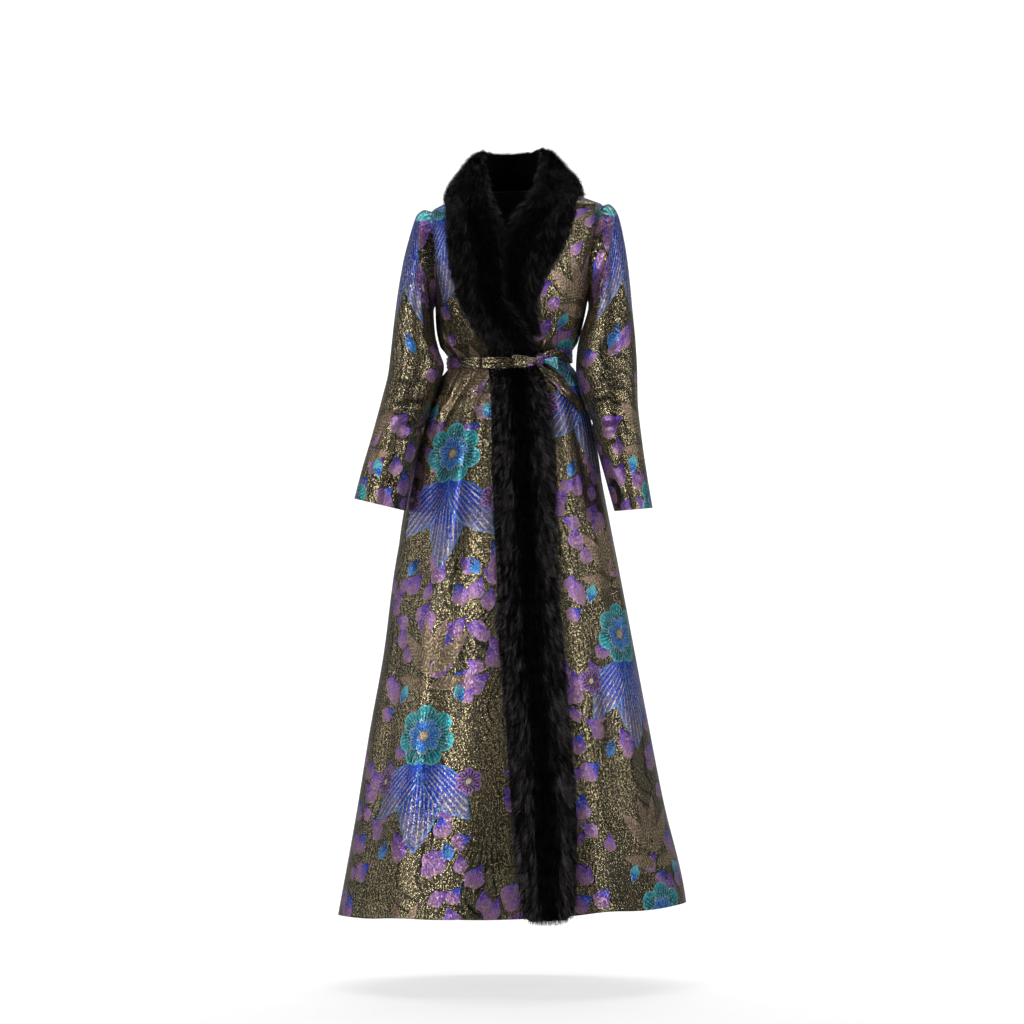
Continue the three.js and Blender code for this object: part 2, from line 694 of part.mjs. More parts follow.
const pieces = [
  ['back', backPanel(), brocade],
  ['front_right', rightFront(), brocade],
  ['front_left', leftFront(), brocade],
  ['sleeve_right', sleeve(rightSleeve, -1), brocade],
  ['sleeve_left', sleeve(leftSleeve, 1), brocade],
  ['collar_fur_right', collarHalf(rightCollar), fur],
  ['collar_fur_left', collarHalf(leftCollar), fur],
  ['front_fur_band', frontBand(), fur],
  ['belt', belt(), brocade],
  ['belt_knot', knot(), brocade],
  ['bow_loop_left', bowLoop(bowRight, 1), brocade],
  ['bow_loop_right', bowLoop(bowLeft, -1), brocade],
  ['belt_tail', tail(), brocade],
];

const coat = new THREE.Group();
for (const [name, geometry, finish] of pieces) {
  const mesh = new THREE.Mesh(geometry, new THREE.MeshStandardMaterial(finish));
  mesh.name = name;
  coat.add(mesh);
}

export default coat;
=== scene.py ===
import math

import bpy
import numpy as np
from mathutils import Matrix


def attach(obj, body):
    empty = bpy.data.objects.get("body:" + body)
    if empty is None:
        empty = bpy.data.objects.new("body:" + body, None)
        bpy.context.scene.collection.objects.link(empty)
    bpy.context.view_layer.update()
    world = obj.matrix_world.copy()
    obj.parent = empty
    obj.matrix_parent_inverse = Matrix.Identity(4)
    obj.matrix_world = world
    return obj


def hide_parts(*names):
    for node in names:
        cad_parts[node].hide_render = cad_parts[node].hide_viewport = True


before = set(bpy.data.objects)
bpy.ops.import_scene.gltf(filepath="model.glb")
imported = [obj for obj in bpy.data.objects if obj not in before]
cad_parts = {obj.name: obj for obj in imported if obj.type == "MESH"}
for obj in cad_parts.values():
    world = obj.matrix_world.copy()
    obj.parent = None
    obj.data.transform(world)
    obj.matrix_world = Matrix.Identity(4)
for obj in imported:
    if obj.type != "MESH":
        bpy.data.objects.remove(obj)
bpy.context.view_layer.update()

scene = bpy.context.scene
# Lengths in the tables and formulas are millimetres. Meshes are made in metres.
millimetre = 0.001
degree = math.pi / 180


# Camera, light and floor: the photograph's own view, level and from far away

studio = {
    "away": 8.0, "cameraHeight": -0.70, "imageMiddle": -0.644, "imageWide": 2.048,
    "floorHeight": -1.594, "floorFront": -10.0, "wallAway": 3.0, "wallBend": 1.2, "wallTop": 5.0,
    "halfWide": 8.0,
}


def makeCamera():
    data = bpy.data.cameras.new("camera")
    data.sensor_width = 36
    data.lens = data.sensor_width * studio["away"] / studio["imageWide"]
    data.shift_y = (studio["imageMiddle"] - studio["cameraHeight"]) / studio["imageWide"]
    data.clip_end = 80
    made = bpy.data.objects.new("camera", data)
    made.location = (0, -studio["away"], studio["cameraHeight"])
    made.rotation_euler = (math.radians(90), 0, 0)
    scene.collection.objects.link(made)
    scene.camera = made


def makeLight(name, place, target, size, power):
    data = bpy.data.lights.new(name, "AREA")
    data.shape = "RECTANGLE"
    data.size, data.size_y = size
    data.energy = power
    made = bpy.data.objects.new(name, data)
    made.location = place
    away = np.array(place) - np.array(target)
    flat = math.hypot(away[0], away[1])
    made.rotation_euler = (math.atan2(flat, away[2]), 0, math.atan2(away[0], -away[1]))
    scene.collection.objects.link(made)


makeCamera()
scene.view_settings.view_transform = "Standard"
lights = [
    # name, place, target, size and power in watts
    ("softLeft", (-2.8, -3.5, 0.4), (0, 0, -0.6), (0.7, 2.4), 62),
    ("softRight", (2.7, -3.4, 0.2), (0, 0, -0.6), (0.65, 2.4), 42),
    ("sideLeft", (-4.2, 0.2, 0.0), (0, 0, -0.6), (0.8, 2.4), 16),
    ("sideRight", (4.2, -0.8, 0.5), (0, 0, -0.4), (0.6, 1.6), 18),
    ("top", (0.0, -0.8, 3.2), (0, 0, -0.4), (2.4, 1.4), 27),
    ("back", (0.0, 1.2, 2.6), (0, 3.0, 0.0), (5.0, 1.0), 120),
]
for light in lights:
    makeLight(*light)
print("stage: camera and lights")


# Values in a shader tree, so that a formula can be written with ordinary signs


class field:
    def __init__(self, tree, source):
        self.tree = tree
        self.source = source

    def __add__(self, other):
        return calculate("ADD", self, other)

    def __radd__(self, other):
        return calculate("ADD", other, self)

    def __sub__(self, other):
        return calculate("SUBTRACT", self, other)

    def __rsub__(self, other):
        return calculate("SUBTRACT", other, self)

    def __mul__(self, other):
        return calculate("MULTIPLY", self, other)

    def __rmul__(self, other):
        return calculate("MULTIPLY", other, self)

    def __truediv__(self, other):
        return calculate("DIVIDE", self, other)

    def __pow__(self, other):
        return calculate("POWER", self, other)


def setSocket(socket, value):
    if isinstance(value, field):
        value.tree.links.new(value.source, socket)
    else:
        socket.default_value = value


def setInputs(node, values):
    for name, value in values.items():
        setSocket(node.inputs[name], value)


def treeOf(*values):
    return next(value.tree for value in values if isinstance(value, field))


def calculate(operation, *values):
    tree = treeOf(*values)
    made = tree.nodes.new("ShaderNodeMath")
    made.operation = operation
    for socket, value in zip(made.inputs, values):
        setSocket(socket, value)
    return field(tree, made.outputs[0])


def vectorMath(operation, first, second=None, scale=None):
    made = first.tree.nodes.new("ShaderNodeVectorMath")
    made.operation = operation
    setSocket(made.inputs[0], first)
    if second is not None:
        setSocket(made.inputs[1], second)
    if scale is not None:
        setSocket(made.inputs["Scale"], scale)
    return field(first.tree, made.outputs[0])


def ramp(value, low, high, start=0.0, end=1.0):
    # Goes smoothly from start to end as value goes from low to high
    made = value.tree.nodes.new("ShaderNodeMapRange")
    made.interpolation_type = "SMOOTHSTEP"
    setInputs(made, {"Value": value, "From Min": low, "From Max": high, "To Min": start, "To Max": end})
    return field(value.tree, made.outputs[0])


def mixColour(factor, first, second):
    # The second colour as far as the factor goes. The node's colour sockets are its seventh and eighth.
    made = factor.tree.nodes.new("ShaderNodeMix")
    made.data_type = "RGBA"
    setSocket(made.inputs[0], factor)
    for index, value in ((6, first), (7, second)):
        setSocket(made.inputs[index], value if isinstance(value, field) else (*value, 1))
    return field(factor.tree, made.outputs[2])


def joinVector(x, y, z=0.0):
    tree = treeOf(x, y, z)
    made = tree.nodes.new("ShaderNodeCombineXYZ")
    for socket, value in zip(made.inputs, (x, y, z)):
        setSocket(socket, value)
    return field(tree, made.outputs[0])


def splitVector(vector):
    made = vector.tree.nodes.new("ShaderNodeSeparateXYZ")
    setSocket(made.inputs[0], vector)
    return [field(vector.tree, output) for output in made.outputs]


def noise(vector, scale, detail):
    made = vector.tree.nodes.new("ShaderNodeTexNoise")
    made.noise_dimensions = "3D"
    setInputs(made, {"Vector": vector, "Scale": scale, "Detail": detail})
    return field(vector.tree, made.outputs[0])


def whiteNoise(vector):
    made = vector.tree.nodes.new("ShaderNodeTexWhiteNoise")
    made.noise_dimensions = "3D"
    setSocket(made.inputs["Vector"], vector)
    return field(vector.tree, made.outputs["Value"]), field(vector.tree, made.outputs["Color"])


def newGroup(name, inputs, outputs):
    tree = bpy.data.node_groups.new(name, "ShaderNodeTree")
    for label, kind in inputs:
        tree.interface.new_socket(label, in_out="INPUT", socket_type=kind)
    for label, kind in outputs:
        tree.interface.new_socket(label, in_out="OUTPUT", socket_type=kind)
    entrance = tree.nodes.new("NodeGroupInput")
    given = {label: field(tree, entrance.outputs[label]) for label, kind in inputs}
    return tree, given, tree.nodes.new("NodeGroupOutput")


def useGroup(tree, group, values):
    made = tree.nodes.new("ShaderNodeGroup")
    made.node_tree = group
    setInputs(made, values)
    return {output.name: field(tree, output) for output in made.outputs}


# The brocade's design: its own blossoms and leaves, with only the colours and the scale of the real cloth

design = {
    "repeatWide": 330.0, "repeatTall": 560.0,
    # Short lengths of thread, the offset of each row of them, and how far they move the edges of the shapes
    "threadWide": 1.0, "threadLong": 1.8, "stagger": 0.38, "raggedWide": 1.8, "raggedLong": 2.6,
    # Cells of one glint each
    "glintWide": 1.25, "glintLong": 1.8, "glintAmount": 0.34,
}
colours = {
    "teal": (0.010, 0.30, 0.37), "tealDeep": (0.003, 0.075, 0.11), "tealPale": (0.12, 0.58, 0.60),
    "blue": (0.010, 0.065, 0.54), "steel": (0.19, 0.18, 0.33), "sky": (0.06, 0.28, 0.72),
    "navy": (0.004, 0.020, 0.13), "purple": (0.12, 0.040, 0.43), "mauve": (0.36, 0.18, 0.36),
    "lilac": (0.42, 0.24, 0.56), "plum": (0.035, 0.012, 0.07), "tan": (0.17, 0.115, 0.07),
    "rose": (0.34, 0.19, 0.18), "gold": (0.44, 0.36, 0.21), "goldPale": (0.66, 0.58, 0.42),
    "ground": (0.060, 0.055, 0.038), "groundDark": (0.022, 0.021, 0.016),
}
# Sizes and places in millimetres from the middle of the motif, turns in degrees, radii over the whole flower
grain = {"pitch": 9.5, "sway": 190.0, "slant": 0.10, "clots": 0.22}
petal = {
    # Turn, pitch and seed of each slanting grid of places
    "grids": ((22, 84.0, 1.0), (-33, 74.0, 2.0), (8, 64.0, 3.0)),
    "wander": 0.16, "turns": 2.6, "bend": 0.016, "filled": 0.565, "shortest": 0.62, "narrowest": 0.58,
    "varies": 0.2, "blunt": 1.6, "veins": 7.0, "metal": 0.7,
}
spray = {
    # Centre, turn, length and width of each pair of leaves
    "leaves": (((0, 150), 40, 112, 34), ((0, 126), 78, 88, 28), ((0, 176), 16, 92, 26)),
    "blunt": 0.8, "veins": 8.0, "metal": 0.7,
}
leaf = {
    # Centre, turn, length and width, and whether there is one on each side
    "leaves": (((0, -30), 180, 176, 84, False), ((0, -22), 137, 158, 74, True)),
    "blunt": 0.9, "veins": 9.0, "ragged": 5.0, "metal": 0.72,
}
blossom = {
    "centre": (0, 28), "radius": 62.0, "petals": 7, "notch": 0.26, "veins": 2 * math.pi / 42,
    "heartRadius": 36.0, "heartNotch": 0.28, "heartTurn": math.pi / 7, "heartVeins": 2 * math.pi / 28,
    "eye": 12.0, "pupil": 9.0, "ragged": 4.0, "metal": 0.66,
}
violet = {
    "centre": (0, -62), "reach": 98.0, "radius": 28.0, "petals": 6, "notch": 0.32, "veins": 2 * math.pi / 18,
    "eye": 5.5, "ragged": 4.0, "metal": 0.62,
}
bud = {
    # Centre, reach to each side, turn, and the colours of the tip and the stalk
    "places": (((0, 92), 74.0, -28, "tealPale", "blue"), ((0, -178), 60.0, 150, "sky", "navy")),
    "length": 42.0, "width": 25.0, "blunt": 1.25, "metal": 0.66,
}


def placed(x, y, centre, turn=0.0, mirrored=False):
    # Place within a motif's own repeat. Every second column is dropped by half the repeat's height.
    wide, tall = design["repeatWide"], design["repeatTall"]
    column = calculate("ROUND", (x - centre[0]) / wide)
    across = x - centre[0] - column * wide
    drop = calculate("FLOORED_MODULO", column, 2.0) * (tall / 2)
    up = calculate("WRAP", y - centre[1] - drop, tall / 2, -tall / 2)
    if mirrored:
        across = calculate("ABSOLUTE", across)
    return turned(across, up, turn)


def turned(across, up, turn):
    if not turn:
        return across, up
    return turnedBy(across, up, math.cos(turn * degree), math.sin(turn * degree))


def turnedBy(across, up, cosine, sine):
    return across * cosine - up * sine, across * sine + up * cosine


def rosette(across, up, radius, petals, notch, start=0.0):
    # Distance inside a round flower's outline: the radius swells and dips with the angle, once for each petal
    away = calculate("SQRT", across * across + up * up)
    angle = calculate("ARCTAN2", across, up) + start
    petal = calculate("ABSOLUTE", calculate("COSINE", angle * (petals / 2)))
    outline = ((petal ** 0.6) * notch + (1 - notch)) * radius
    return outline - away, away, angle


def leafShape(across, up, length, width, blunt):
    # Distance inside a leaf's outline: half its width times the sine of how far along it is
    along = calculate("MINIMUM", calculate("MAXIMUM", up / length, 0.0), 1.0)
    half = calculate("SINE", (along ** blunt) * math.pi) * (width / 2)
    side = calculate("ABSOLUTE", across)
    return half - side, side, along


def stripes(value, pitch, share):
    # 1 on a line of that share of the pitch, 0 between lines
    place = calculate("ABSOLUTE", calculate("FRACT", value / pitch) - 0.5)
    return ramp(place, share / 2 + 0.06, share / 2, 0.0, 1.0)


def threadCells(x, y, wide, long):
    # The number of each cell of thread, row by row, every row shifted along a little
    row = calculate("FLOOR", y / long)
    return joinVector(calculate("FLOOR", x / wide + calculate("FRACT", row * design["stagger"])), row)


class weave:
    # The brocade while it is laid up motif by motif: places on it in millimetres, the chances of each short
    # length of thread, and the colour and metal so far

    def __init__(self, place):
        x, y = [value * 1000.0 for value in splitVector(place)[:2]]
        self.thread, tint = whiteNoise(threadCells(x, y, design["threadWide"], design["threadLong"]))
        self.second, self.third = splitVector(tint)[:2]
        self.x = x + (self.second - 0.5) * design["raggedWide"]
        self.y = y + (self.thread - 0.5) * design["raggedLong"]
        # Lines that cross the shapes are dotted, thread by thread
        self.dots = ramp(self.second, 0.30, 0.36)

    def ragged(self, value, amount):
        return value + (self.thread - 0.5) * amount

    def shaded(self, amount, low, high, dark, light):
        # From the dark colour to the light one, thread by thread
        return mixColour(ramp(self.ragged(amount, 0.5), low, high), colours[dark], colours[light])

    def veined(self, inside, value, pitch, share, line, strength=1.0):
        return mixColour(stripes(value, pitch, share) * self.dots * strength, inside, colours[line])

    def rimmed(self, inside, edge, ragged, low, high, line):
        # A border of another colour, which ends from high to low millimetres inside the edge
        return mixColour(ramp(self.ragged(edge, ragged), low, high), inside, colours[line])

    def dotted(self, inside, value, low, high, line):
        return mixColour(ramp(value, low, high) * self.dots, inside, colours[line])

    def lay(self, edge, inside, metal):
        # The motif, with dark thread and pale gold thread in it, over what is there
        mask = ramp(edge, 0.0, 0.9)
        speckled = mixColour(ramp(self.third, 0.0, 0.5, 0.45, 1.0), colours["groundDark"], inside)
        speckled = mixColour(ramp(self.thread, 0.93, 0.95, 0.0, 0.6), speckled, colours["goldPale"])
        self.colour = mixColour(mask, self.colour, speckled)
        self.metal = self.metal + (metal - self.metal) * mask


def layGround(cloth):
    # Dark olive thread with fine gold in it, in wavy bands like wood grain, with dark lines between them
    x, y = cloth.x, cloth.y
    sway = noise(joinVector(x * 0.0065, y * 0.0042), 1.0, 1.0) - 0.5
    wave = (x + sway * grain["sway"] + y * grain["slant"]) * (2 * math.pi / grain["pitch"])
    cloud = noise(joinVector(x * 0.011, y * 0.006, 4.0), 1.0, 1.0)
    clot = noise(joinVector(x * 0.30, y * 0.17, 9.0), 1.0, 0.0)
    bands = calculate("SINE", wave) * 0.5 + 0.5 + cloud * 0.5
    share = ramp(bands, 0.32, 0.62, 0.12, 0.37) * ramp(cloud, 0.36, 0.62, 0.8, 1.2)
    gold = ramp(share + (clot - 0.5) * grain["clots"] - cloth.thread, -0.10, 0.10)
    plain = mixColour(ramp(bands, 0.28, 0.56), colours["groundDark"], colours["ground"])
    cloth.colour = mixColour(gold, plain, colours["gold"])
    cloth.metal = gold * 0.08 + 0.87
    cloth.height = gold


def layPetals(cloth, turn, pitch, seed):
    # Loose clusters of curved petals on a slanting grid of places, each filled or not by chance, every petal
    # with its own turn and size. They go from purple at the stalk through mauve to a dusty rose tip.
    across, up = turned(cloth.x, cloth.y, turn)
    column, line = calculate("FLOOR", across / pitch), calculate("FLOOR", up / pitch)
    chance, tint = whiteNoise(joinVector(column, line, seed))
    red, green, blue = splitVector(tint)
    middle = turned((column + 0.5) * pitch, (line + 0.5) * pitch, -turn)
    cluster = noise(joinVector(middle[0] * 0.0075, middle[1] * 0.0052, 11.0), 1.0, 0.0)
    across = across - (column + 0.5 + (blue - 0.5) * petal["wander"]) * pitch
    up = up - (line + 0.5 + (chance - 0.5) * petal["wander"]) * pitch
    angle = (red - 0.5) * petal["turns"] + math.pi - turn * degree
    across, up = turnedBy(across, up, calculate("COSINE", angle), calculate("SINE", angle))
    across = across + up * up * ((green - 0.5) * petal["bend"])
    filled = ramp(cluster + chance * 0.16, petal["filled"], petal["filled"] + 0.005)
    length = (green * petal["varies"] + petal["shortest"]) * pitch * filled
    width = (blue * petal["varies"] + petal["narrowest"]) * length
    # An empty place has length 0, so a little is added before it divides
    edge, side, along = leafShape(across, up + length * 0.5, length + 0.01, width, petal["blunt"])
    inside = cloth.shaded(along, 0.30, 0.62, "purple", "mauve")
    inside = mixColour(ramp(along + (cloth.second - 0.5) * 0.3, 0.72, 0.95), inside, colours["rose"])
    inside = mixColour(ramp(blue, 0.75, 0.8) * ramp(along, 0.6, 0.3), inside, colours["blue"])
    veins = across / (along * 0.9 + 0.3)
    inside = cloth.veined(inside, veins, petal["veins"], 0.16, "lilac", ramp(along, 0.2, 0.4))
    border = ramp(cloth.ragged(edge, 2.0), 2.0, 1.0) * ramp(along, 0.4, 0.6)
    cloth.lay(edge - 0.4, mixColour(border, inside, colours["lilac"]), petal["metal"])


def laySpray(cloth, centre, turn, length, width):
    # A pair of long tan leaves with rose tips
    across, up = placed(cloth.x, cloth.y, centre, turn, mirrored=True)
    edge, side, along = leafShape(across, up, length, width, spray["blunt"])
    inside = cloth.shaded(along, 0.5, 0.9, "tan", "rose")
    inside = cloth.veined(inside, up - side * 0.8, spray["veins"], 0.3, "gold")
    cloth.lay(edge, inside, spray["metal"])


def layLeaf(cloth, centre, turn, length, width, mirrored):
    # A large leaf, royal blue that turns to lilac grey, with a sky blue border
    across, up = placed(cloth.x, cloth.y, centre, turn, mirrored)
    edge, side, along = leafShape(across, up, length, width, leaf["blunt"])
    cloudy = noise(joinVector(across * 0.03, up * 0.012, 1.0), 1.0, 1.0)
    inside = cloth.shaded(along * 0.5 + cloudy * 1.1, 0.72, 1.08, "blue", "steel")
    veins = across / (along * 0.8 + 0.6)
    inside = cloth.veined(inside, veins, leaf["veins"], 0.2, "goldPale", ramp(along, 0.1, 0.3))
    inside = cloth.rimmed(inside, edge, leaf["ragged"], 4.2, 2.0, "sky")
    cloth.lay(edge, inside, leaf["metal"])


def layBlossom(cloth):
    # A large round flower: a ring of teal petals, then a blue heart with a ring of its own
    across, up = placed(cloth.x, cloth.y, blossom["centre"])
    edge, away, angle = rosette(across, up, blossom["radius"], blossom["petals"], blossom["notch"])
    patchy = noise(joinVector(across * 0.02, up * 0.02, 3.0), 1.0, 0.0) - 0.5
    inside = cloth.shaded(away / blossom["radius"] + patchy * 2.2, 0.45, 1.1, "tealDeep", "teal")
    inside = cloth.veined(inside, angle, blossom["veins"], 0.30, "tealPale", ramp(away, 24.0, 34.0))
    inside = cloth.rimmed(inside, edge, blossom["ragged"], 3.6, 1.8, "tealPale")
    cloth.lay(edge, inside, blossom["metal"])
    edge, away, angle = rosette(across, up, blossom["heartRadius"], blossom["petals"], blossom["heartNotch"],
                                blossom["heartTurn"])
    inside = cloth.shaded(away / blossom["heartRadius"], 0.5, 1.0, "blue", "sky")
    inside = cloth.veined(inside, angle, blossom["heartVeins"], 0.3, "tealPale")
    inside = cloth.dotted(inside, edge, 2.6, 1.6, "goldPale")
    inside = mixColour(ramp(away, blossom["eye"], blossom["eye"] - 1.5), inside, colours["tan"])
    inside = cloth.dotted(inside, away, blossom["pupil"], blossom["pupil"] - 1.5, "goldPale")
    cloth.lay(edge, inside, blossom["metal"])


def layViolet(cloth):
    # A small round flower on each side of the large one
    across, up = placed(cloth.x, cloth.y, violet["centre"], mirrored=True)
    across = across - violet["reach"]
    edge, away, angle = rosette(across, up, violet["radius"], violet["petals"], violet["notch"])
    inside = cloth.shaded(away / violet["radius"], 0.45, 0.95, "plum", "purple")
    inside = cloth.veined(inside, angle, violet["veins"], 0.4, "mauve")
    inside = cloth.rimmed(inside, edge, violet["ragged"], 3.4, 1.6, "mauve")
    inside = mixColour(ramp(away, violet["eye"], violet["eye"] - 1.0), inside, colours["goldPale"])
    cloth.lay(edge, inside, violet["metal"])


def layBud(cloth, centre, reach, turn, light, dark):
    across, up = placed(cloth.x, cloth.y, centre, mirrored=True)
    across, up = turned(across - reach, up, turn)
    edge, side, along = leafShape(across, up, bud["length"], bud["width"], bud["blunt"])
    inside = cloth.shaded(along, 0.25, 0.8, dark, light)
    cloth.lay(edge, cloth.dotted(inside, edge, 2.4, 1.5, light), bud["metal"])


def brocadeGroup():
    tree, given, leave = newGroup(
        "floralBrocade",
        [("Place", "NodeSocketVector")],
        [("Colour", "NodeSocketColor"), ("Metal", "NodeSocketFloat"), ("Height", "NodeSocketFloat")],
    )
    cloth = weave(given["Place"])
    layGround(cloth)
    for entry in petal["grids"]:
        layPetals(cloth, *entry)
    for entry in spray["leaves"]:
        laySpray(cloth, *entry)
    for entry in leaf["leaves"]:
        layLeaf(cloth, *entry)
    layBlossom(cloth)
    layViolet(cloth)
    for entry in bud["places"]:
        layBud(cloth, *entry)
    setInputs(leave, {"Colour": cloth.colour, "Metal": cloth.metal, "Height": cloth.height})
    return tree


def flakeGroup():
    # The normal, tipped at random in each small cell, as short lengths of metal thread catch the light
    tree, given, leave = newGroup(
        "threadGlint",
        [("Place", "NodeSocketVector"), ("Amount", "NodeSocketFloat")],
        [("Normal", "NodeSocketVector")],
    )
    x, y = [value * 1000.0 for value in splitVector(given["Place"])[:2]]
    tip = whiteNoise(threadCells(x, y, design["glintWide"], design["glintLong"]))[1]
    tipped = vectorMath("SCALE", vectorMath("SUBTRACT", tip, (0.5, 0.5, 0.5)), scale=given["Amount"])
    surface = field(tree, tree.nodes.new("ShaderNodeNewGeometry").outputs["Normal"])
    setInputs(leave, {"Normal": vectorMath("NORMALIZE", vectorMath("ADD", surface, tipped))})
    return tree


def newMaterial(name):
    made = bpy.data.materials.new(name)
    made.use_nodes = True
    return made, made.node_tree, made.node_tree.nodes["Principled BSDF"]


def clothPlace(tree):
    made = tree.nodes.new("ShaderNodeUVMap")
    made.uv_map = "cloth"
    return field(tree, made.outputs[0])


def makeBrocade():
    made, tree, shader = newMaterial("brocade")
    place = clothPlace(tree)
    woven = useGroup(tree, brocadeGroup(), {"Place": place})
    glint = useGroup(tree, flakeGroup(), {"Place": place, "Amount": design["glintAmount"]})
    bump = tree.nodes.new("ShaderNodeBump")
    setInputs(bump, {"Strength": 0.25, "Distance": 0.0006, "Height": woven["Height"],
                     "Normal": glint["Normal"]})
    setInputs(shader, {"Base Color": woven["Colour"], "Metallic": woven["Metal"], "Roughness": 0.27,
                       "Sheen Weight": 0.04, "Normal": field(tree, bump.outputs[0])})
    return made


def makeLining():
    made, tree, shader = newMaterial("lining")
    x, y = splitVector(clothPlace(tree))[:2]
    threads = noise(joinVector(x * 900.0, y * 160.0), 1.0, 1.0)
    colour = mixColour(threads, (0.010, 0.010, 0.011), (0.022, 0.021, 0.022))
    setInputs(shader, {"Base Color": colour, "Roughness": 0.45, "Sheen Weight": 0.2})
    return made


def objectPlace(tree):
    return field(tree, tree.nodes.new("ShaderNodeTexCoord").outputs["Object"])


def makePelt():
    made, tree, shader = newMaterial("pelt")
    mottle = noise(objectPlace(tree), 260.0, 3.0)
    colour = mixColour(mottle, (0.0004, 0.0004, 0.0005), (0.0014, 0.0013, 0.0015))
    setInputs(shader, {"Base Color": colour, "Roughness": 0.9, "Specular IOR Level": 0.05})
    return made


def makeHair():
    made, tree, shader = newMaterial("furHair")
    tone = tree.nodes.new("ShaderNodeAttribute")
    tone.attribute_name = "tone"
    value = field(tree, tone.outputs["Fac"])
    # From near-black to pale grey with the tone: the hair's own paler hairs, and streaks of painted sheen
    colour = mixColour(ramp(value, 0.30, 1.05), (0.0006, 0.0006, 0.0007), (0.20, 0.18, 0.19))
    setInputs(shader, {"Base Color": colour, "Roughness": 0.34, "Specular IOR Level": 0.14})
    return made


brocade = makeBrocade()
lining = makeLining()
pelt = makePelt()
furHair = makeHair()
print("stage: materials")


# Tables of the coat's form, in millimetres and degrees, the same as those of the solids

def table(columns, rows):
    return {name: np.array([row[i] for row in rows], float) for i, name in enumerate(columns)}


sections = table(("height", "right", "left", "front", "back", "square"), [
    (-1480, 351, 348, 239, 265, 2.0), (-1396, 336, 336, 229, 253, 2.0), (-1236, 308, 299, 212, 234, 2.0),
    (-1076, 283, 269, 194, 214, 2.0), (-916, 255, 240, 176, 195, 2.0), (-756, 235, 211, 157, 176, 2.0),
    (-596, 205, 181, 138, 154, 2.1), (-516, 190, 168, 128, 141, 2.1), (-460, 176, 155, 117, 128, 2.1),
    (-420, 162, 142, 107, 115, 2.1), (-384, 146, 129, 97, 101, 2.1), (-364, 133, 121, 91, 92, 2.1),
    (-342, 126, 115, 86, 86, 2.1), (-324, 131, 120, 92, 91, 2.2), (-308, 139, 127, 98, 96, 2.2),
    (-276, 147, 138, 108, 101, 2.3), (-226, 153, 150, 117, 107, 2.5), (-180, 158, 158, 118, 110, 2.7),
    (-126, 163, 168, 113, 109, 2.8), (-84, 165, 175, 107, 106, 2.8), (-52, 163, 180, 101, 100, 2.7),
    (-38, 160, 181, 96, 96, 2.6), (-28, 143, 161, 91, 91, 2.5), (-18, 120, 134, 85, 84, 2.4),
    (-8, 96, 105, 79, 77, 2.2), (3, 73, 76, 70, 69, 2.1), (14, 60, 62, 60, 63, 2.0),
    (40, 52, 54, 50, 58, 2.0), (80, 50, 52, 46, 58, 2.0),
])
flares = [
    (-78, 12, 9, -560), (-50, 13, 15, -480), (-26, 10, 5, -520), (42, 12, 15, -460), (80, 12, 9, -520),
    (108, 12, 14, -500), (134, 12, 17, -470), (160, 11, 13, -520), (186, 11, 16, -480), (212, 12, 14, -500),
    (238, 12, 16, -470),
]
gathers = [
    (-82, 6), (-68, 5), (-54, 6), (-41, 4), (44, 6), (57, 5), (70, 6), (84, 5), (102, 6), (119, 5), (137, 6),
    (154, 4), (171, 6), (189, 5), (206, 6), (224, 5), (242, 6), (258, 5),
]
form = {
    "hem": -1437, "hemRise": 0.4, "hemRiseReach": 220, "gatherWidth": 6, "gatherStart": 13, "gatherPeak": 34,
    "gatherReach": 75, "beltMiddle": -342, "tilt": 0.035, "armBottom": -226, "armTop": -38, "armFront": 58,
    "armBack": 60, "shoulderEnd": 3, "thickness": 2, "seam": 0.3, "underlap": 5, "underlapAngle": 12,
    "layer": 1, "shoulderLayer": 4,
}
rightEdge = table(("height", "x"), [
    (-1437, 108), (-1396, 114), (-1236, 115), (-1076, 104), (-916, 92), (-756, 81), (-596, 75), (-476, 69),
    (-396, 57), (-342, 50), (-312, 36), (-262, 6), (-200, -22), (-140, -25), (-85, -25), (-45, -38),
    (-10, -50), (3, -56),
])
leftEdge = table(("height", "x"), [
    (-1437, -92), (-916, -76), (-476, -58), (-342, -42), (-262, -50), (-200, -46), (-140, -34), (-85, -12),
    (-45, 26), (-10, 42), (3, 50),
])


def curve(keys, values, place):
    # Smooth curve through the points that never overshoots: cubic pieces with harmonic mean slopes
    place = np.clip(place, keys[0], keys[-1])
    steps = np.diff(values) / np.diff(keys)
    product = steps[:-1] * steps[1:]
    total = steps[:-1] + steps[1:]
    inner = np.where(product > 0, 2 * product / np.where(total == 0, 1, total), 0)
    slopes = np.concatenate([steps[:1], inner, steps[-1:]])
    i = np.clip(np.searchsorted(keys, place, side="right") - 1, 0, len(keys) - 2)
    span = keys[i + 1] - keys[i]
    t = (place - keys[i]) / span
    rise = values[i + 1] - values[i]
    start, end = slopes[i] * span, slopes[i + 1] * span
    return values[i] + t * (start + t * (3 * rise - 2 * start - end + t * (start + end - 2 * rise)))


def smooth(low, high, value):
    share = np.clip((value - low) / (high - low), 0, 1)
    return share * share * (3 - 2 * share)


def turnTo(angle, centre):
    return (angle - centre + 540) % 360 - 180


def sectionAt(height):
    sides = ("right", "left", "front", "back", "square")
    return [curve(sections["height"], sections[name], height) for name in sides]


def flareDepth(angle, height):
    total = 0
    for centre, width, depth, start in flares:
        grown = np.clip((start - height) / (start - form["hem"]), 0, None)
        total = total + depth * grown ** 1.2 * np.exp(-((turnTo(angle, centre) / width) ** 2))
    return total


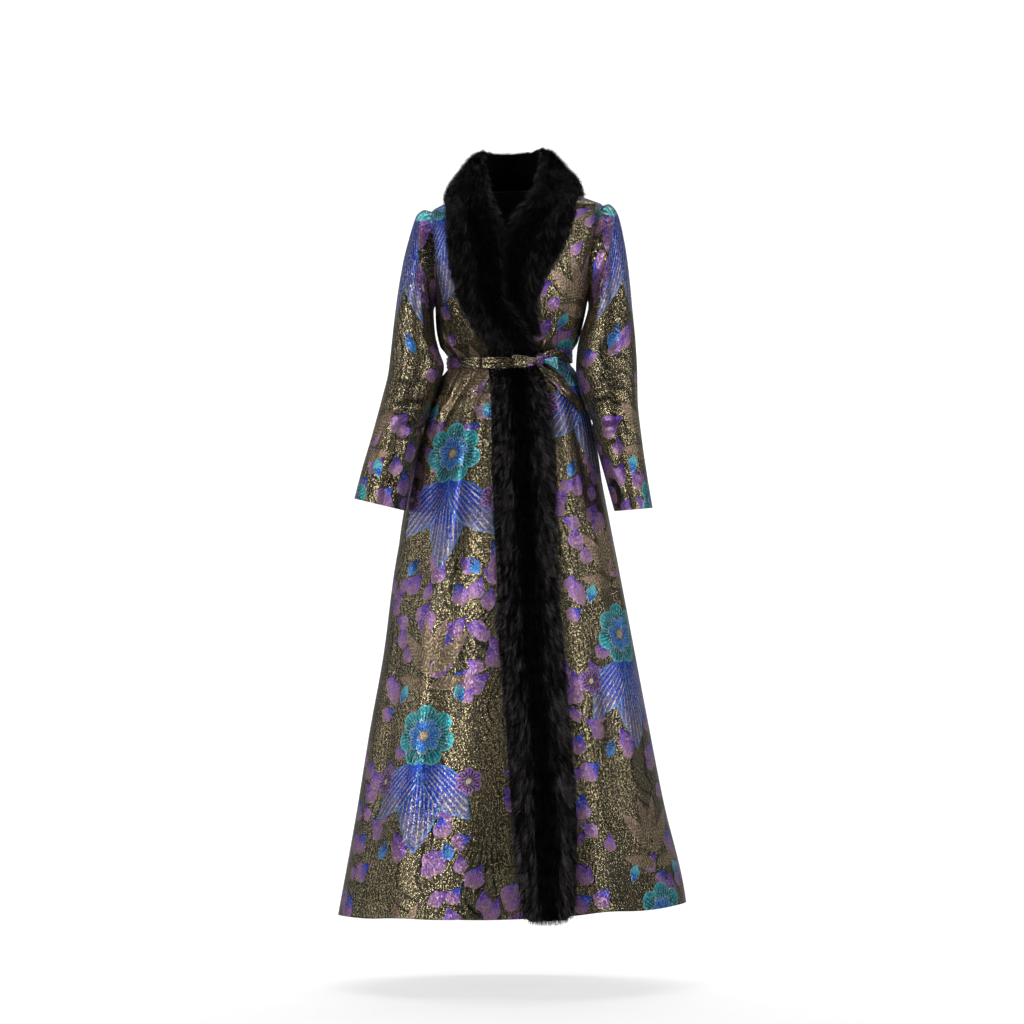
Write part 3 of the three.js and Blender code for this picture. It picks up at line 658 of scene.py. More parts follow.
def gatherDepth(angle, height):
    away = np.abs(height - form["beltMiddle"])
    reach = np.exp(-((np.clip(away - form["gatherPeak"], 0, None) / form["gatherReach"]) ** 2))
    strength = smooth(form["gatherStart"], form["gatherPeak"], away) * reach
    total = 0
    for centre, depth in gathers:
        total = total + depth * np.exp(-((turnTo(angle, centre) / form["gatherWidth"]) ** 2))
    return strength * total


def surfacePoint(angle, height):
    # The coat's outer surface: a boxy oval at each height, with its flares and gathers. Angles in radians.
    right, left, front, back, square = sectionAt(height)
    sine, cosine = np.sin(angle), np.cos(angle)
    across = np.abs(sine) / np.where(sine > 0, left, right)
    deep = np.abs(cosine) / np.where(cosine > 0, front, back)
    radius = (across ** square + deep ** square) ** (-1 / square)
    radius = radius + flareDepth(angle / degree, height) + gatherDepth(angle / degree, height)
    return np.stack([radius * sine, -radius * cosine, height + 0 * angle], -1)


def surfaceNormal(angle, height):
    around = surfacePoint(angle + 0.01, height) - surfacePoint(angle - 0.01, height)
    upward = surfacePoint(angle, height + 1.5) - surfacePoint(angle, height - 1.5)
    return unitOf(np.cross(around, upward))


def unitOf(vectors):
    return vectors / np.maximum(np.linalg.norm(vectors, axis=-1, keepdims=True), 1e-9)


def offsetPoint(angle, height, out):
    return surfacePoint(angle, height) + surfaceNormal(angle, height) * np.asarray(out)[..., None]


def frontAngle(x, height):
    right, left, front, back, square = sectionAt(height)
    share = np.minimum(0.999, np.abs(x) / np.where(x > 0, left, right))
    return np.arctan2(x, front * (1 - share ** square) ** (1 / square))


def hemLift(angle, height):
    low = 1 - smooth(form["hem"], form["hem"] + form["hemRiseReach"], height)
    return low * form["hemRise"] * flareDepth(angle / degree, form["hem"])


# Meshes

def tilted(points):
    # The pose's tilt, and millimetres to metres
    points = np.array(points, float).reshape(-1, 3)
    points[:, 2] += form["tilt"] * points[:, 0]
    return points * millimetre


def makeMesh(name, points, faces, cloth=None, faceMaterials=None, materials=(), smoothing=True):
    # faces is a list of index arrays, each with a row for every face of one corner count
    data = bpy.data.meshes.new(name)
    counts = np.concatenate([np.full(len(part), part.shape[1]) for part in faces])
    corners = np.concatenate([part.ravel() for part in faces])
    starts = np.concatenate([[0], np.cumsum(counts)[:-1]])
    data.vertices.add(len(points))
    data.vertices.foreach_set("co", points.astype(np.float32).ravel())
    data.loops.add(len(corners))
    data.loops.foreach_set("vertex_index", corners.astype(np.int32))
    data.polygons.add(len(counts))
    data.polygons.foreach_set("loop_start", starts.astype(np.int32))
    data.polygons.foreach_set("loop_total", counts.astype(np.int32))
    for entry in materials:
        data.materials.append(entry)
    if faceMaterials is not None:
        data.polygons.foreach_set("material_index", faceMaterials.astype(np.int32))
    data.polygons.foreach_set("use_smooth", np.full(len(counts), smoothing))
    if cloth is not None:
        layer = data.uv_layers.new(name="cloth")
        layer.data.foreach_set("uv", cloth.astype(np.float32).ravel())
    data.update(calc_edges=True)
    data.validate()
    made = bpy.data.objects.new(name, data)
    scene.collection.objects.link(made)
    return made


def gridCells(rows, columns, closedRound=False):
    # Row and column of every cell of a grid. One that is closed round has a cell more in each row.
    spans = columns if closedRound else columns - 1
    return np.meshgrid(np.arange(rows - 1), np.arange(spans), indexing="ij")


def gridFaces(rows, columns, first, closedRound=False):
    row, column = gridCells(rows, columns, closedRound)
    after = (column + 1) % columns
    a, b = first + row * columns + column, first + row * columns + after
    c, d = b + columns, a + columns
    return np.stack([a, b, c, d], -1).reshape(-1, 4)


def gridPlaces(cloth, rows, columns, closedRound=False):
    # The corners' places on the flat cloth, for the faces that gridFaces makes
    row, column = gridCells(rows, columns, closedRound)
    corners = [cloth[row, column], cloth[row, column + 1], cloth[row + 1, column + 1], cloth[row + 1, column]]
    return np.stack(corners, 2).reshape(-1, 4, 2)


def gridEdges(rows, columns, closedRound=False):
    # Rows and columns along the edges of a grid, in the order that makes the rim of its wall face out
    across = np.arange(columns + 1 if closedRound else columns)
    down = np.arange(rows)
    edges = [(0 * across, across), (0 * across + rows - 1, across[::-1])]
    if not closedRound:
        edges += [(down[::-1], 0 * down), (down, 0 * down + columns - 1)]
    return edges


def wallFaces(rows, columns, closedRound=False):
    # Outer side, inner side and rim of a wall between two grids. The outer grid's points come first.
    count = rows * columns
    outside = gridFaces(rows, columns, 0, closedRound)
    inside = gridFaces(rows, columns, count, closedRound)[:, ::-1]
    rims = []
    for row, column in gridEdges(rows, columns, closedRound):
        along = row * columns + column % columns
        rims.append(np.stack([along[:-1], along[:-1] + count, along[1:] + count, along[1:]], -1))
    return outside, inside, np.concatenate(rims)


def shell(name, outer, inner, cloth, materials, closedRound=False, flip=False, topLined=False):
    # A closed wall between two grids. Its inner side has the second material. cloth holds a place on the flat
    # cloth for each grid point, with one more column where the grid is closed round.
    rows, columns = outer.shape[:2]
    outside, inside, rims = wallFaces(rows, columns, closedRound)
    outsidePlaces = gridPlaces(cloth, rows, columns, closedRound)
    rimPlaces = []
    for row, column in gridEdges(rows, columns, closedRound):
        along = cloth[row, column]
        rimPlaces.append(np.stack([along[:-1], along[:-1], along[1:], along[1:]], 1))
    faces = np.concatenate([outside, inside, rims])
    places = np.concatenate([outsidePlaces, outsidePlaces[:, ::-1], *rimPlaces])
    if flip:
        faces, places = faces[:, ::-1], places[:, ::-1]
    kinds = np.concatenate([np.zeros(len(outside)), np.ones(len(inside)), np.zeros(len(rims))])
    if topLined:
        topRim = len(outside) + len(inside) + columns - 1
        kinds[topRim:topRim + columns - 1] = 1
    points = np.concatenate([tilted(outer), tilted(inner)])
    made = makeMesh(name, points, [faces], places * millimetre, kinds, materials)
    made.data.set_sharp_from_angle(angle=math.radians(50))
    return made


def creaseShape(across, along, width, depth, bow):
    # depth exp(-(distance / width)^2), which fades towards both ends with the sine of the way along. The same
    # sine bows the line of the crease.
    bend = np.sin(math.pi * along)
    return depth * np.exp(-(((across - bow * bend) / width) ** 2)) * bend ** 0.8


def creaseDepth(angle, height, rows):
    # Soft troughs (below 0) and ridges (above 0), each along a line on the surface from one place to another.
    # Distance from the line is measured on the cloth.
    girth = (sections["right"] + sections["left"] + sections["front"] + sections["back"]) / 4
    radius = curve(sections["height"], girth, height)
    total = np.zeros(np.broadcast(angle, height).shape)
    for startAngle, startHeight, endAngle, endHeight, width, depth, bow in rows:
        endRadius = np.interp(endHeight, sections["height"], (sections["right"] + sections["front"]) / 2)
        x = turnTo(angle / degree, startAngle) * degree * radius
        y = height - startHeight
        lineX, lineY = (endAngle - startAngle) * degree * endRadius, endHeight - startHeight
        length = math.hypot(lineX, lineY)
        along = np.clip((x * lineX + y * lineY) / length ** 2, 0, 1)
        total += creaseShape((x * lineY - y * lineX) / length, along, width, depth, bow)
    return total


def runAlong(points):
    # Length along a row of points, from 0
    return np.concatenate([[0], np.cumsum(np.linalg.norm(np.diff(points, axis=0), axis=1))])


def onCloth(across, down, origin):
    # Places on the flat cloth for a grid, from one value for each column and one for each row
    return np.stack(np.broadcast_arrays(across + origin[0], down + origin[1]), 2)


def clothPlaces(points, grain, origin):
    # Where each grid point lies on the flat cloth: across from a grain line, and down along that line
    rows, columns = points.shape[:2]
    steps = np.linalg.norm(np.diff(points, axis=1), axis=2)
    across = np.concatenate([np.zeros((rows, 1)), np.cumsum(steps, 1)], 1)
    column = int(round(grain * (columns - 1)))
    across = across - across[:, column:column + 1]
    down = runAlong(points[:, column])
    return onCloth(across, (down - down[-1])[:, None], origin)


def wallArea(points, closedRound=False):
    if closedRound:
        points = np.concatenate([points, points[:, :1]], 1)
    a = points[1:, 1:] - points[:-1, :-1]
    b = points[1:, :-1] - points[:-1, 1:]
    return float(np.linalg.norm(np.cross(a, b), axis=2).sum() / 2) * millimetre ** 2


# Body panels

panelRows = np.concatenate([
    np.linspace(form["hem"], -700, 90, endpoint=False),
    np.linspace(-700, -440, 42, endpoint=False),
    np.linspace(-440, -270, 46, endpoint=False),
    np.linspace(-270, form["armBottom"], 8, endpoint=False),
])
armMiddle, armHalf = (form["armBottom"] + form["armTop"]) / 2, (form["armTop"] - form["armBottom"]) / 2
armholeRows = armMiddle - armHalf * np.cos(math.pi * np.arange(33) / 32)
shoulderRows = np.linspace(form["armTop"], form["shoulderEnd"], 13)[1:]
panelRows = np.concatenate([panelRows, armholeRows, shoulderRows])

bodyCreases = [
    # startAngle, startHeight, endAngle, endHeight, width, depth, bow
    (39, -392, 33, -640, 5, -5.5, 4),       # the pleat beside the fur
    (46, -400, 44, -700, 12, 5, -4),
    (58, -372, 63, -640, 10, -4.5, 6),
    (72, -372, 80, -620, 11, 4, -6),
    (52, -640, 57, -1150, 22, -6, 8),
    (70, -560, 76, -1000, 18, 5, -8),
    (-42, -366, -60, -470, 9, -7, 6),       # the fold at the right hip
    (-52, -372, -66, -455, 8, 5, -4),
    (-36, -380, -40, -760, 14, 5, 6),
    (-58, -430, -62, -900, 20, -7, -8),
    (-72, -400, -78, -700, 13, 5, 6),
    (-30, -640, -34, -1180, 20, -5, 6),
    (-48, -760, -46, -1300, 26, 6, 6),
    (-68, -800, -66, -1330, 22, -6, 6),
    (62, -900, 60, -1380, 24, 6, -6),
    (-64, -250, -74, -325, 9, 4, 4),
    (-50, -262, -56, -330, 8, -4, 3),
    (-38, -285, -40, -335, 7, 3.5, 2),
    (-78, -232, -66, -300, 10, -4, -4),
    (-90, -500, -90, -700, 14, 4.5, 0),
    (-34, -520, -58, -980, 42, 8, 10),      # broad soft folds in the skirt
    (-66, -600, -38, -1150, 38, -7, -10),
    (-42, -1000, -62, -1400, 40, 7, 8),
    (52, -620, 70, -1180, 42, 7, 10),
    (74, -700, 54, -1250, 36, -6, 8),
    (-74, -120, -80, -250, 12, -4, 5),
    (50, -262, 56, -330, 8, -4, 3),
    (60, -240, 70, -325, 9, 4, 4),
    (40, -285, 41, -335, 7, 3.5, 2),
    (78, -240, 74, -322, 10, -4, -4),
    (66, -130, 76, -250, 13, -4, -5),
    (56, -90, 64, -180, 14, 3, 4),
    (96, -372, 92, -620, 11, -5, 6),
    (112, -372, 116, -660, 12, 5, 6),
    (128, -372, 124, -600, 10, -5, -5),
    (146, -372, 148, -680, 12, 5, 6),
    (163, -372, 164, -620, 10, -5, 5),
    (180, -372, 178, -700, 13, 5, -6),
    (197, -372, 199, -620, 10, -5, 5),
    (215, -372, 213, -660, 12, 5, -6),
    (232, -372, 236, -600, 10, -5, 5),
    (250, -372, 247, -660, 12, 5, -6),
    (120, -700, 121, -1250, 24, -7, 8),
    (148, -760, 147, -1300, 22, -6, -8),
    (172, -700, 173, -1260, 22, -7, 6),
    (199, -740, 198, -1300, 22, -6, -6),
    (225, -700, 226, -1250, 24, -7, 8),
    (104, -300, 108, -240, 9, 4, 4),
    (122, -330, 130, -240, 10, -4, 4),
    (150, -335, 152, -250, 10, 3.5, 4),
    (180, -335, 180, -230, 12, -3.5, 4),
    (208, -335, 210, -250, 10, 3.5, 4),
    (238, -330, 230, -240, 10, -4, 4),
    (256, -300, 252, -240, 9, 4, 4),
    (125, -90, 140, -190, 16, -3.5, 6),
    (235, -90, 220, -190, 16, -3.5, 6),
]
skirtGathers = np.random.default_rng(11)
fineFoldStep = 7
furSpan = (-34, 36)


def fineFold(angle):
    # Angle, depth, width in degrees and reach of one small pleat
    uniform = skirtGathers.uniform
    return angle + uniform(-2.5, 2.5), uniform(1.0, 2.4), uniform(1.8, 3.2), uniform(60, 150)


foldAngles = [angle for angle in range(-86, 270, fineFoldStep) if not furSpan[0] < angle < furSpan[1]]
fineFolds = [fineFold(angle) for angle in foldAngles]


def fineGathers(angle, height):
    # Small pleats drawn in by the belt, each with its own depth and reach, longer below it than above
    below = np.clip(form["beltMiddle"] - 10 - height, 0, None)
    above = np.clip(height - form["beltMiddle"] - 10, 0, None)
    total = 0
    for centre, depth, width, reach in fineFolds:
        fade = np.where(below > 0, smooth(0, 10, below) * np.exp(-((below / reach) ** 2)),
                        smooth(0, 8, above) * np.exp(-((above / (reach * 0.45)) ** 2)))
        across = np.clip(turnTo(angle / degree, centre) / width, -1, 1)
        total = total + depth * fade * np.cos(across * math.pi / 2)
    return total


def armholeAngle(height, side, facing):
    right, left, front, back, square = sectionAt(height)
    depth = form["armFront"] if facing > 0 else form["armBack"]
    reach = depth * np.sqrt(np.clip(1 - ((height - armMiddle) / armHalf) ** 2, 0, None))
    wide, deep = (left if side > 0 else right), (front if facing > 0 else back)
    x = wide * (1 - (reach / deep) ** square) ** (1 / square)
    return np.arctan2(x, facing * reach) * side


def sideAngle(height, side, facing):
    # The panel's edge at the side seam, half a seam short of it, or at the armhole
    radius = np.linalg.norm(surfacePoint(np.full_like(height, side * math.pi / 2), height)[..., :2], axis=-1)
    inHole = (height > form["armBottom"]) & (height < form["armTop"])
    edge = np.where(inHole, armholeAngle(height, side, facing), side * math.pi / 2)
    return edge - side * facing * form["seam"] / 2 / np.clip(radius, 60, 400)


def panel(name, columns, fromAngle, toAngle, grain, origin, outward=None):
    # A panel between two edges, given as angles at each height. outward is how far it stands off the surface.
    start, end = fromAngle(panelRows), toAngle(panelRows)
    share = np.linspace(0, 1, columns + 1)[None]
    angle = start[:, None] + (end - start)[:, None] * share
    level = np.repeat(panelRows[:, None], columns + 1, 1)
    height = level + hemLift(angle, level)
    base, normal = surfacePoint(angle, height), surfaceNormal(angle, height)
    folds = creaseDepth(angle, height, bodyCreases) + fineGathers(angle, height)
    # Seams draw the cloth in a little, and the folds fade at the armholes, the shoulders and under the belt
    seamAngle = np.minimum(np.abs(angle - start[:, None]), np.abs(end[:, None] - angle))
    seamAway = seamAngle * np.linalg.norm(base[..., :2], axis=-1)
    quiet = smooth(form["armTop"] + 6, form["armTop"] - 40, height)
    hold = np.where(height > form["armBottom"] - 12, smooth(0, 22, seamAway), 1)
    belted = smooth(9, 22, np.abs(height - form["beltMiddle"]))
    belowArm = smooth(form["armBottom"] - 4, form["armBottom"] - 30, height)
    out = folds * quiet * hold * belted - 1.1 * np.exp(-((seamAway / 3.5) ** 2)) * belowArm
    if outward is not None:
        out = outward(angle, height) + out
    outer = base + normal * out[..., None]
    inner = base + normal * (out - form["thickness"])[..., None]
    made = shell(name, outer, inner, clothPlaces(outer, grain, origin), (brocade, lining), topLined=True)
    return made, outer


def rightEdgeAngle(height):
    return frontAngle(curve(rightEdge["height"], rightEdge["x"], height), height)


def leftEdgeAngle(height):
    return frontAngle(curve(leftEdge["height"], leftEdge["x"], height), height)


def leftDip(angle, height):
    # The left front goes in under the right one
    covered = rightEdgeAngle(height)
    return -form["underlap"] * (1 - smooth(covered, covered + form["underlapAngle"] * degree, angle))


def finish(piece, node):
    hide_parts(node)
    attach(piece, "root")


def finishCloth(piece, node):
    finish(piece, node)


backPiece, backGrid = panel(
    "clothBack", 130, lambda height: sideAngle(height, 1, -1),
    lambda height: sideAngle(height, -1, -1) + 2 * math.pi, 0.5, (0, 40))
rightPiece, rightGrid = panel(
    "clothFrontRight", 100, lambda height: sideAngle(height, -1, 1), rightEdgeAngle, 0.4, (20, 95))
leftPiece, leftGrid = panel(
    "clothFrontLeft", 100, leftEdgeAngle, lambda height: sideAngle(height, 1, 1), 0.76, (-30, -60), leftDip)
print("stage: body panels", wallArea(backGrid), wallArea(rightGrid), wallArea(leftGrid))
finishCloth(backPiece, "back")
finishCloth(rightPiece, "front_right")
finishCloth(leftPiece, "front_left")


# Sleeves

sleeveColumns = ("outerX", "outerHeight", "innerX", "innerHeight", "middle", "depth")
rightSleeve = table(sleeveColumns, [
    (-174, -34, -154.5, -229, -1, 60), (-188, -44, -156.5, -238, -4, 60), (-200, -72, -156, -248, -10, 60),
    (-212, -114, -155, -262, -17, 60), (-224, -176, -153, -284, -25, 60), (-233, -240, -145, -318, -33, 60),
    (-240, -305, -135, -352, -40, 59), (-246, -358, -147, -392, -46, 58), (-260, -415, -166, -446, -52, 57),
    (-279, -485, -183, -505, -56, 56), (-297, -546, -198, -570, -61, 55), (-313, -607, -211, -635, -66, 54),
])
leftSleeve = table(sleeveColumns, [
    (192, -35, 152, -229, -1, 60), (206, -49, 152.5, -238, -4, 60), (217, -76, 150.5, -250, -10, 60),
    (226, -120, 146, -266, -17, 60), (234, -182, 137, -292, -25, 60), (240, -248, 129, -330, -33, 59),
    (246, -314, 127, -366, -40, 58), (249, -370, 138, -410, -46, 57), (250, -430, 153, -462, -52, 56),
    (258, -509, 169, -526, -57, 54), (269, -585, 186, -588, -62, 52), (279, -646, 203, -650, -67, 50),
])
# Creases of a sleeve: place along it in millimetres from the armhole, and angle round it, 0 at the inside,
# 90 at the front and 180 at the outside, from one end to the other, then width, depth and bow
sleeveCreases = {
    "right": [
        (300, 20, 345, 150, 8, -5, 6), (322, 10, 330, 120, 7, -5, -5), (352, 0, 372, 110, 8, -5.5, 6),
        (280, 40, 262, 140, 9, -4, 4), (385, 20, 402, 140, 9, -4, 6), (338, 30, 352, 100, 6, 4, 3),
        (368, 300, 352, 400, 8, -4.5, 5), (330, 270, 320, 380, 8, -4.5, 5), (300, 250, 290, 350, 9, -3.5, 4),
        (430, 60, 470, 150, 12, -4, 8), (500, 40, 470, 120, 12, -3.5, 8), (180, 60, 250, 110, 14, -4, 8),
        (120, 120, 210, 130, 14, 3.5, 8), (90, 60, 170, 30, 12, -4, 6), (60, 300, 150, 330, 12, -4, 6),
        (540, 100, 590, 130, 14, 3, 5), (30, 150, 90, 155, 7, -3.5, 2), (26, 170, 80, 172, 7, -3.5, 2),
        (28, 190, 84, 192, 7, -3.5, -2), (30, 210, 88, 208, 7, -3.5, 2),
    ],
    "left": [
        (310, 10, 330, 130, 8, -5, 5), (340, 0, 372, 120, 8, -5, -5), (372, 20, 386, 140, 8, -4.5, 6),
        (288, 30, 276, 130, 9, -4, 5), (352, 30, 362, 100, 6, 4, 3), (400, 30, 430, 130, 10, -4, 6),
        (360, 300, 342, 390, 8, -4.5, 5), (326, 270, 312, 380, 8, -4, 5), (450, 60, 500, 150, 12, -3.5, 8),
        (200, 70, 270, 120, 14, -4, 8), (130, 100, 220, 120, 14, 3.5, 8), (80, 60, 165, 30, 12, -4, 6),
        (70, 300, 150, 330, 12, -4, 6), (555, 90, 605, 120, 14, 3, 5), (30, 148, 90, 152, 7, -3.5, 2),
        (26, 168, 82, 170, 7, -3.5, 2), (28, 188, 84, 192, 7, -3.5, -2), (30, 208, 88, 210, 7, -3.5, 2),
    ],
}
# Radius that turns angles round a sleeve into lengths
sleeveRadius = 55


def sleeveRails(rows, side, clear, place):
    # The sleeve's outer and inner side, its middle line and its depth, from the armhole to the cuff
    tip, armpit = [surfacePoint(np.array(side * math.pi / 2), np.array(float(height)))
                   for height in (form["armTop"], form["armBottom"])]
    depth = (form["armFront"] + form["armBack"]) / 2
    first = (tip[0] + clear, form["armTop"], armpit[0] + clear, form["armBottom"], 0, depth)
    keys = np.arange(len(rows["middle"]) + 1)
    rail = {}
    for column, value in zip(sleeveColumns, first):
        rail[column] = curve(keys, np.concatenate([[value], rows[column]]), place)[:, None]
    outer = np.stack([rail["outerX"], rail["middle"], rail["outerHeight"]], -1)
    inner = np.stack([rail["innerX"], rail["middle"], rail["innerHeight"]], -1)
    return (outer - inner) / 2, (outer + inner) / 2, rail["depth"]


def sleeveFolds(creases, angle, girth, down):
    total = np.zeros((len(down), angle.shape[1]))
    for start, startAngle, end, endAngle, width, depth, bow in creases:
        x = turnTo(angle / degree, (startAngle + endAngle) / 2) * degree * girth[:, None]
        y = down[:, None] - (start + end) / 2
        lineX, lineY = (endAngle - startAngle) * degree * sleeveRadius, end - start
        size = math.hypot(lineX, lineY)
        along = np.clip((x * lineX + y * lineY) / size ** 2 + 0.5, 0, 1)
        total += creaseShape((x * lineY - y * lineX) / size, along, width, depth, bow)
    return total


def sleeve(name, rows, side, creases, rings=130, around=64):
    # Rings of an oval that follow the arm. The first ones follow the armhole's edge instead.
    clear = -0.25 * side
    place = np.linspace(0, len(rows["middle"]), rings)
    half, middle, depth = sleeveRails(rows, side, clear, place)
    length = np.linalg.norm(half, axis=-1, keepdims=True)
    angle = np.linspace(0, 2 * math.pi, around, endpoint=False)[None]
    cosine = np.cos(angle)[..., None]
    forward = np.stack([0 * angle, -np.sin(angle), 0 * angle], -1)
    # The armhole's edge on the body, at the same shares of the way round
    level = armMiddle - armHalf * np.cos(angle[0])
    inFront = np.sin(angle[0]) >= -1e-9
    edge = np.where(inFront, armholeAngle(level, side, 1), armholeAngle(level, side, -1))
    seam = surfacePoint(edge, level)
    plain = middle[:1] - cosine * half[:1] + forward * depth[:1][..., None]
    shift = np.stack([seam[None, :, 0] + clear - plain[..., 0], seam[None, :, 1] - plain[..., 1],
                      0 * plain[..., 0]], -1)
    follow = 1 - smooth(0, 3.5, place * (18 / len(rows["middle"])))

    def ring(shrink):
        points = middle - cosine * half * (length - shrink) / length + forward * (depth - shrink)[..., None]
        return points + shift * follow[:, None, None]

    outer = ring(0)
    girth = np.linalg.norm(np.roll(outer, -1, 1) - outer, axis=2).sum(1) / (2 * math.pi)
    down = runAlong(outer.mean(1))
    normal = unitOf(outer - middle)
    calm = smooth(0, 24, down)[:, None] * smooth(down[-1], down[-1] - 14, down)[:, None]
    head = 2.5 * np.exp(-(((down - 26) / 18) ** 2))[:, None] * smooth(0.2, 0.9, -np.cos(angle))
    out = (sleeveFolds(creases, angle, girth, down) + head) * calm
    inner = ring(form["thickness"]) + normal * out[..., None]
    outer = outer + normal * out[..., None]
    turn = np.append(angle[0], 2 * math.pi)
    places = onCloth((turn[None] - math.pi) * sleeveRadius * side, -down[:, None], (0, 0))
    made = shell(name, outer, inner, places, (brocade, lining), closedRound=True, flip=side < 0)
    return made, outer


sleeveRightPiece, sleeveRightGrid = sleeve("clothSleeveRight", rightSleeve, -1, sleeveCreases["right"])
sleeveLeftPiece, sleeveLeftGrid = sleeve("clothSleeveLeft", leftSleeve, 1, sleeveCreases["left"])
print("stage: sleeves", wallArea(sleeveRightGrid, True), wallArea(sleeveLeftGrid, True))
finishCloth(sleeveRightPiece, "sleeve_right")
finishCloth(sleeveLeftPiece, "sleeve_left")


# Fur: a pelt with a low undercoat, and many thin hairs that grow out of it

# Inner edge by its angle or by its x, its height, the same for the outer edge, and the pile
rightCollar = [
    (-180.1, None, 76, -180.1, None, -40, 22), (-140, None, 76, -142, None, -39, 22),
    (-106, None, 75, -112, None, -27, 21), (-82, None, 71, -91, None, -17, 19),
    (None, -47, 44, None, -119, -42, 22), (None, -43, 0, None, -121, -88, 32),
    (None, -31, -36, None, -119, -134, 34), (None, -17, -78, None, -113, -176, 34),
    (None, -17, -140, None, -102, -216, 32), (None, -14, -200, None, -88, -250, 28),
    (None, 14, -262, None, -66, -284, 22), (None, 44, -312, None, -48, -315, 13),
    (None, 57, -334, None, -46, -336, 4),
]
leftCollar = [
    (180.1, None, 76, 180.1, None, -40, 22), (140, None, 76, 142, None, -39, 22),
    (106, None, 75, 112, None, -26, 21), (82, None, 73, 91, None, -15, 18),
    (None, 49, 46, None, 118, -37, 21), (None, 44, 6, None, 113, -74, 32),
    (None, 27, -30, None, 104, -110, 34), (None, -3, -70, None, 85, -148, 34),
    (None, -14, -136, None, 63, -188, 32), (None, -12, -196, None, 47, -228, 26),
    (None, 15, -250, None, 46, -264, 18), (None, 37, -292, None, 55, -298, 9),
]
# Height, x of the edge on the wearer's left and of the one on the right, and the pile
furBand = [
    (-340.4, 57, -48, 4), (-363, 58, -46, 4), (-376, 60, -44, 11), (-398, 65, -42, 20), (-476, 76, -40, 25),
    (-596, 82, -38, 26), (-756, 88, -30, 26), (-916, 99, -24, 26), (-1076, 111, -10, 26), (-1236, 122, 0, 26),
    (-1396, 121, 16, 26), (-1428, 116, 22, 24), (-1442, 106, 34, 14),
]


def stationCurves(rows, count):
    # Smooth curves through the columns of a table, at evenly spaced places along it
    rows = np.array(rows, float)
    place, keys = np.linspace(0, len(rows) - 1, count), np.arange(len(rows))
    return [curve(keys, column, place) for column in rows.T]


def edgeAngle(angle, x, height):
    return angle * degree if x is None else float(frontAngle(np.array(x, float), np.array(height, float)))


def collarStations(rows, count):
    ends = []
    for innerAngle, innerX, innerHeight, outerAngle, outerX, outerHeight, pile in rows:
        ends.append((edgeAngle(innerAngle, innerX, innerHeight), innerHeight,
                     edgeAngle(outerAngle, outerX, outerHeight), outerHeight, pile))
    return stationCurves(ends, count)


def bandStations(rows, count):
    height, innerX, outerX, pile = stationCurves(rows, count)
    return [frontAngle(innerX, height), height, frontAngle(outerX, height), height, pile]


def furBase(stations, across, clear, steps=61):
    # Lines on the coat's surface from the inner to the outer edge, with points evenly spaced along them
    fromAngle, fromHeight, toAngle, toHeight, pile = stations
    share = np.linspace(0, 1, steps)[None]
    angle = fromAngle[:, None] + (toAngle - fromAngle)[:, None] * share
    height = fromHeight[:, None] + (toHeight - fromHeight)[:, None] * share
    evenly = np.linspace(0, 1, across)
    base = []
    for line in offsetPoint(angle, height, np.repeat(clear[:, None], steps, 1)):
        run = runAlong(line)
        base.append(np.stack([np.interp(evenly * run[-1], run, line[:, axis]) for axis in range(3)], -1))
    return np.stack(base)


def furUp(base):
    chord = unitOf(base[:, -1] - base[:, 0])
    middle = base[:, base.shape[1] // 2]
    outward = unitOf(middle * [1, 1, 0])
    outward[:, 2] += 0.75 * smooth(-60, 10, middle[:, 2])
    return unitOf(outward - chord * (outward * chord).sum(-1, keepdims=True))


def furOver(base, pile, edge=3.0, full=3.2):
    up = furUp(base)
    share = np.linspace(0, 1, base.shape[1])
    arch = (1 - np.abs(2 * share - 1) ** full) ** 0.5
    above = ((base - base[:, :1]) * up[:, None]).sum(-1)
    lift = edge + (pile[:, None] - edge) * arch[None] + np.clip(-above, 0, None)
    return base + up[:, None] * lift[..., None]


def gridSample(grid, s, t):
    # Value of a grid at fractional row and column places
    rows, columns = grid.shape[:2]
    i, j = np.clip(s.astype(int), 0, rows - 2), np.clip(t.astype(int), 0, columns - 2)
    u, v = (s - i)[:, None], (t - j)[:, None]
    near = grid[i, j] * (1 - u) * (1 - v) + grid[i + 1, j] * u * (1 - v)
    return near + grid[i, j + 1] * (1 - u) * v + grid[i + 1, j + 1] * u * v


def gridNormals(grid, outwardFrom):
    down = np.gradient(grid, axis=0)
    across = np.gradient(grid, axis=1)
    normal = unitOf(np.cross(across, down))
    sign = np.sign((normal * (grid - outwardFrom)).sum(-1, keepdims=True))
    return normal * np.where(sign == 0, 1, sign), unitOf(down), unitOf(across)


def undercoat(base, pile, kind, seed):
    # The pelt's upper side with its normal, its way down and its way out. Lumps make the pile uneven.
    low = furOver(base, np.maximum(pile * kind["undercoat"], np.minimum(pile, 4)), kind["edge"])
    row, column = np.arange(base.shape[0])[:, None], np.arange(base.shape[1])[None]
    wave = np.sin(row * 0.55 + 1.3 * np.sin(column * 0.5 + seed)) * np.sin(column * 0.8 + row * 0.21)
    centreLine = base.mean(1, keepdims=True) - furUp(base)[:, None] * 60
    normal, down, outwards = gridNormals(low, centreLine)
    low = low + normal * (wave * kind["lump"] * np.minimum(1, pile / 20)[:, None])[..., None]
    return low, normal, down, outwards


def rootPlaces(low, count, random):
    # Even cover: rows are picked by how much pelt they have
    rowLength = np.linalg.norm(np.diff(low, axis=0), axis=2).mean(1)
    weight = rowLength * np.linalg.norm(np.diff(low, axis=1), axis=2).sum(1)[:-1]
    total = np.concatenate([[0], np.cumsum(weight)])
    s = np.interp(random.uniform(0, total[-1], count), total, np.arange(low.shape[0]))
    return s, random.uniform(0, low.shape[1] - 1, count)


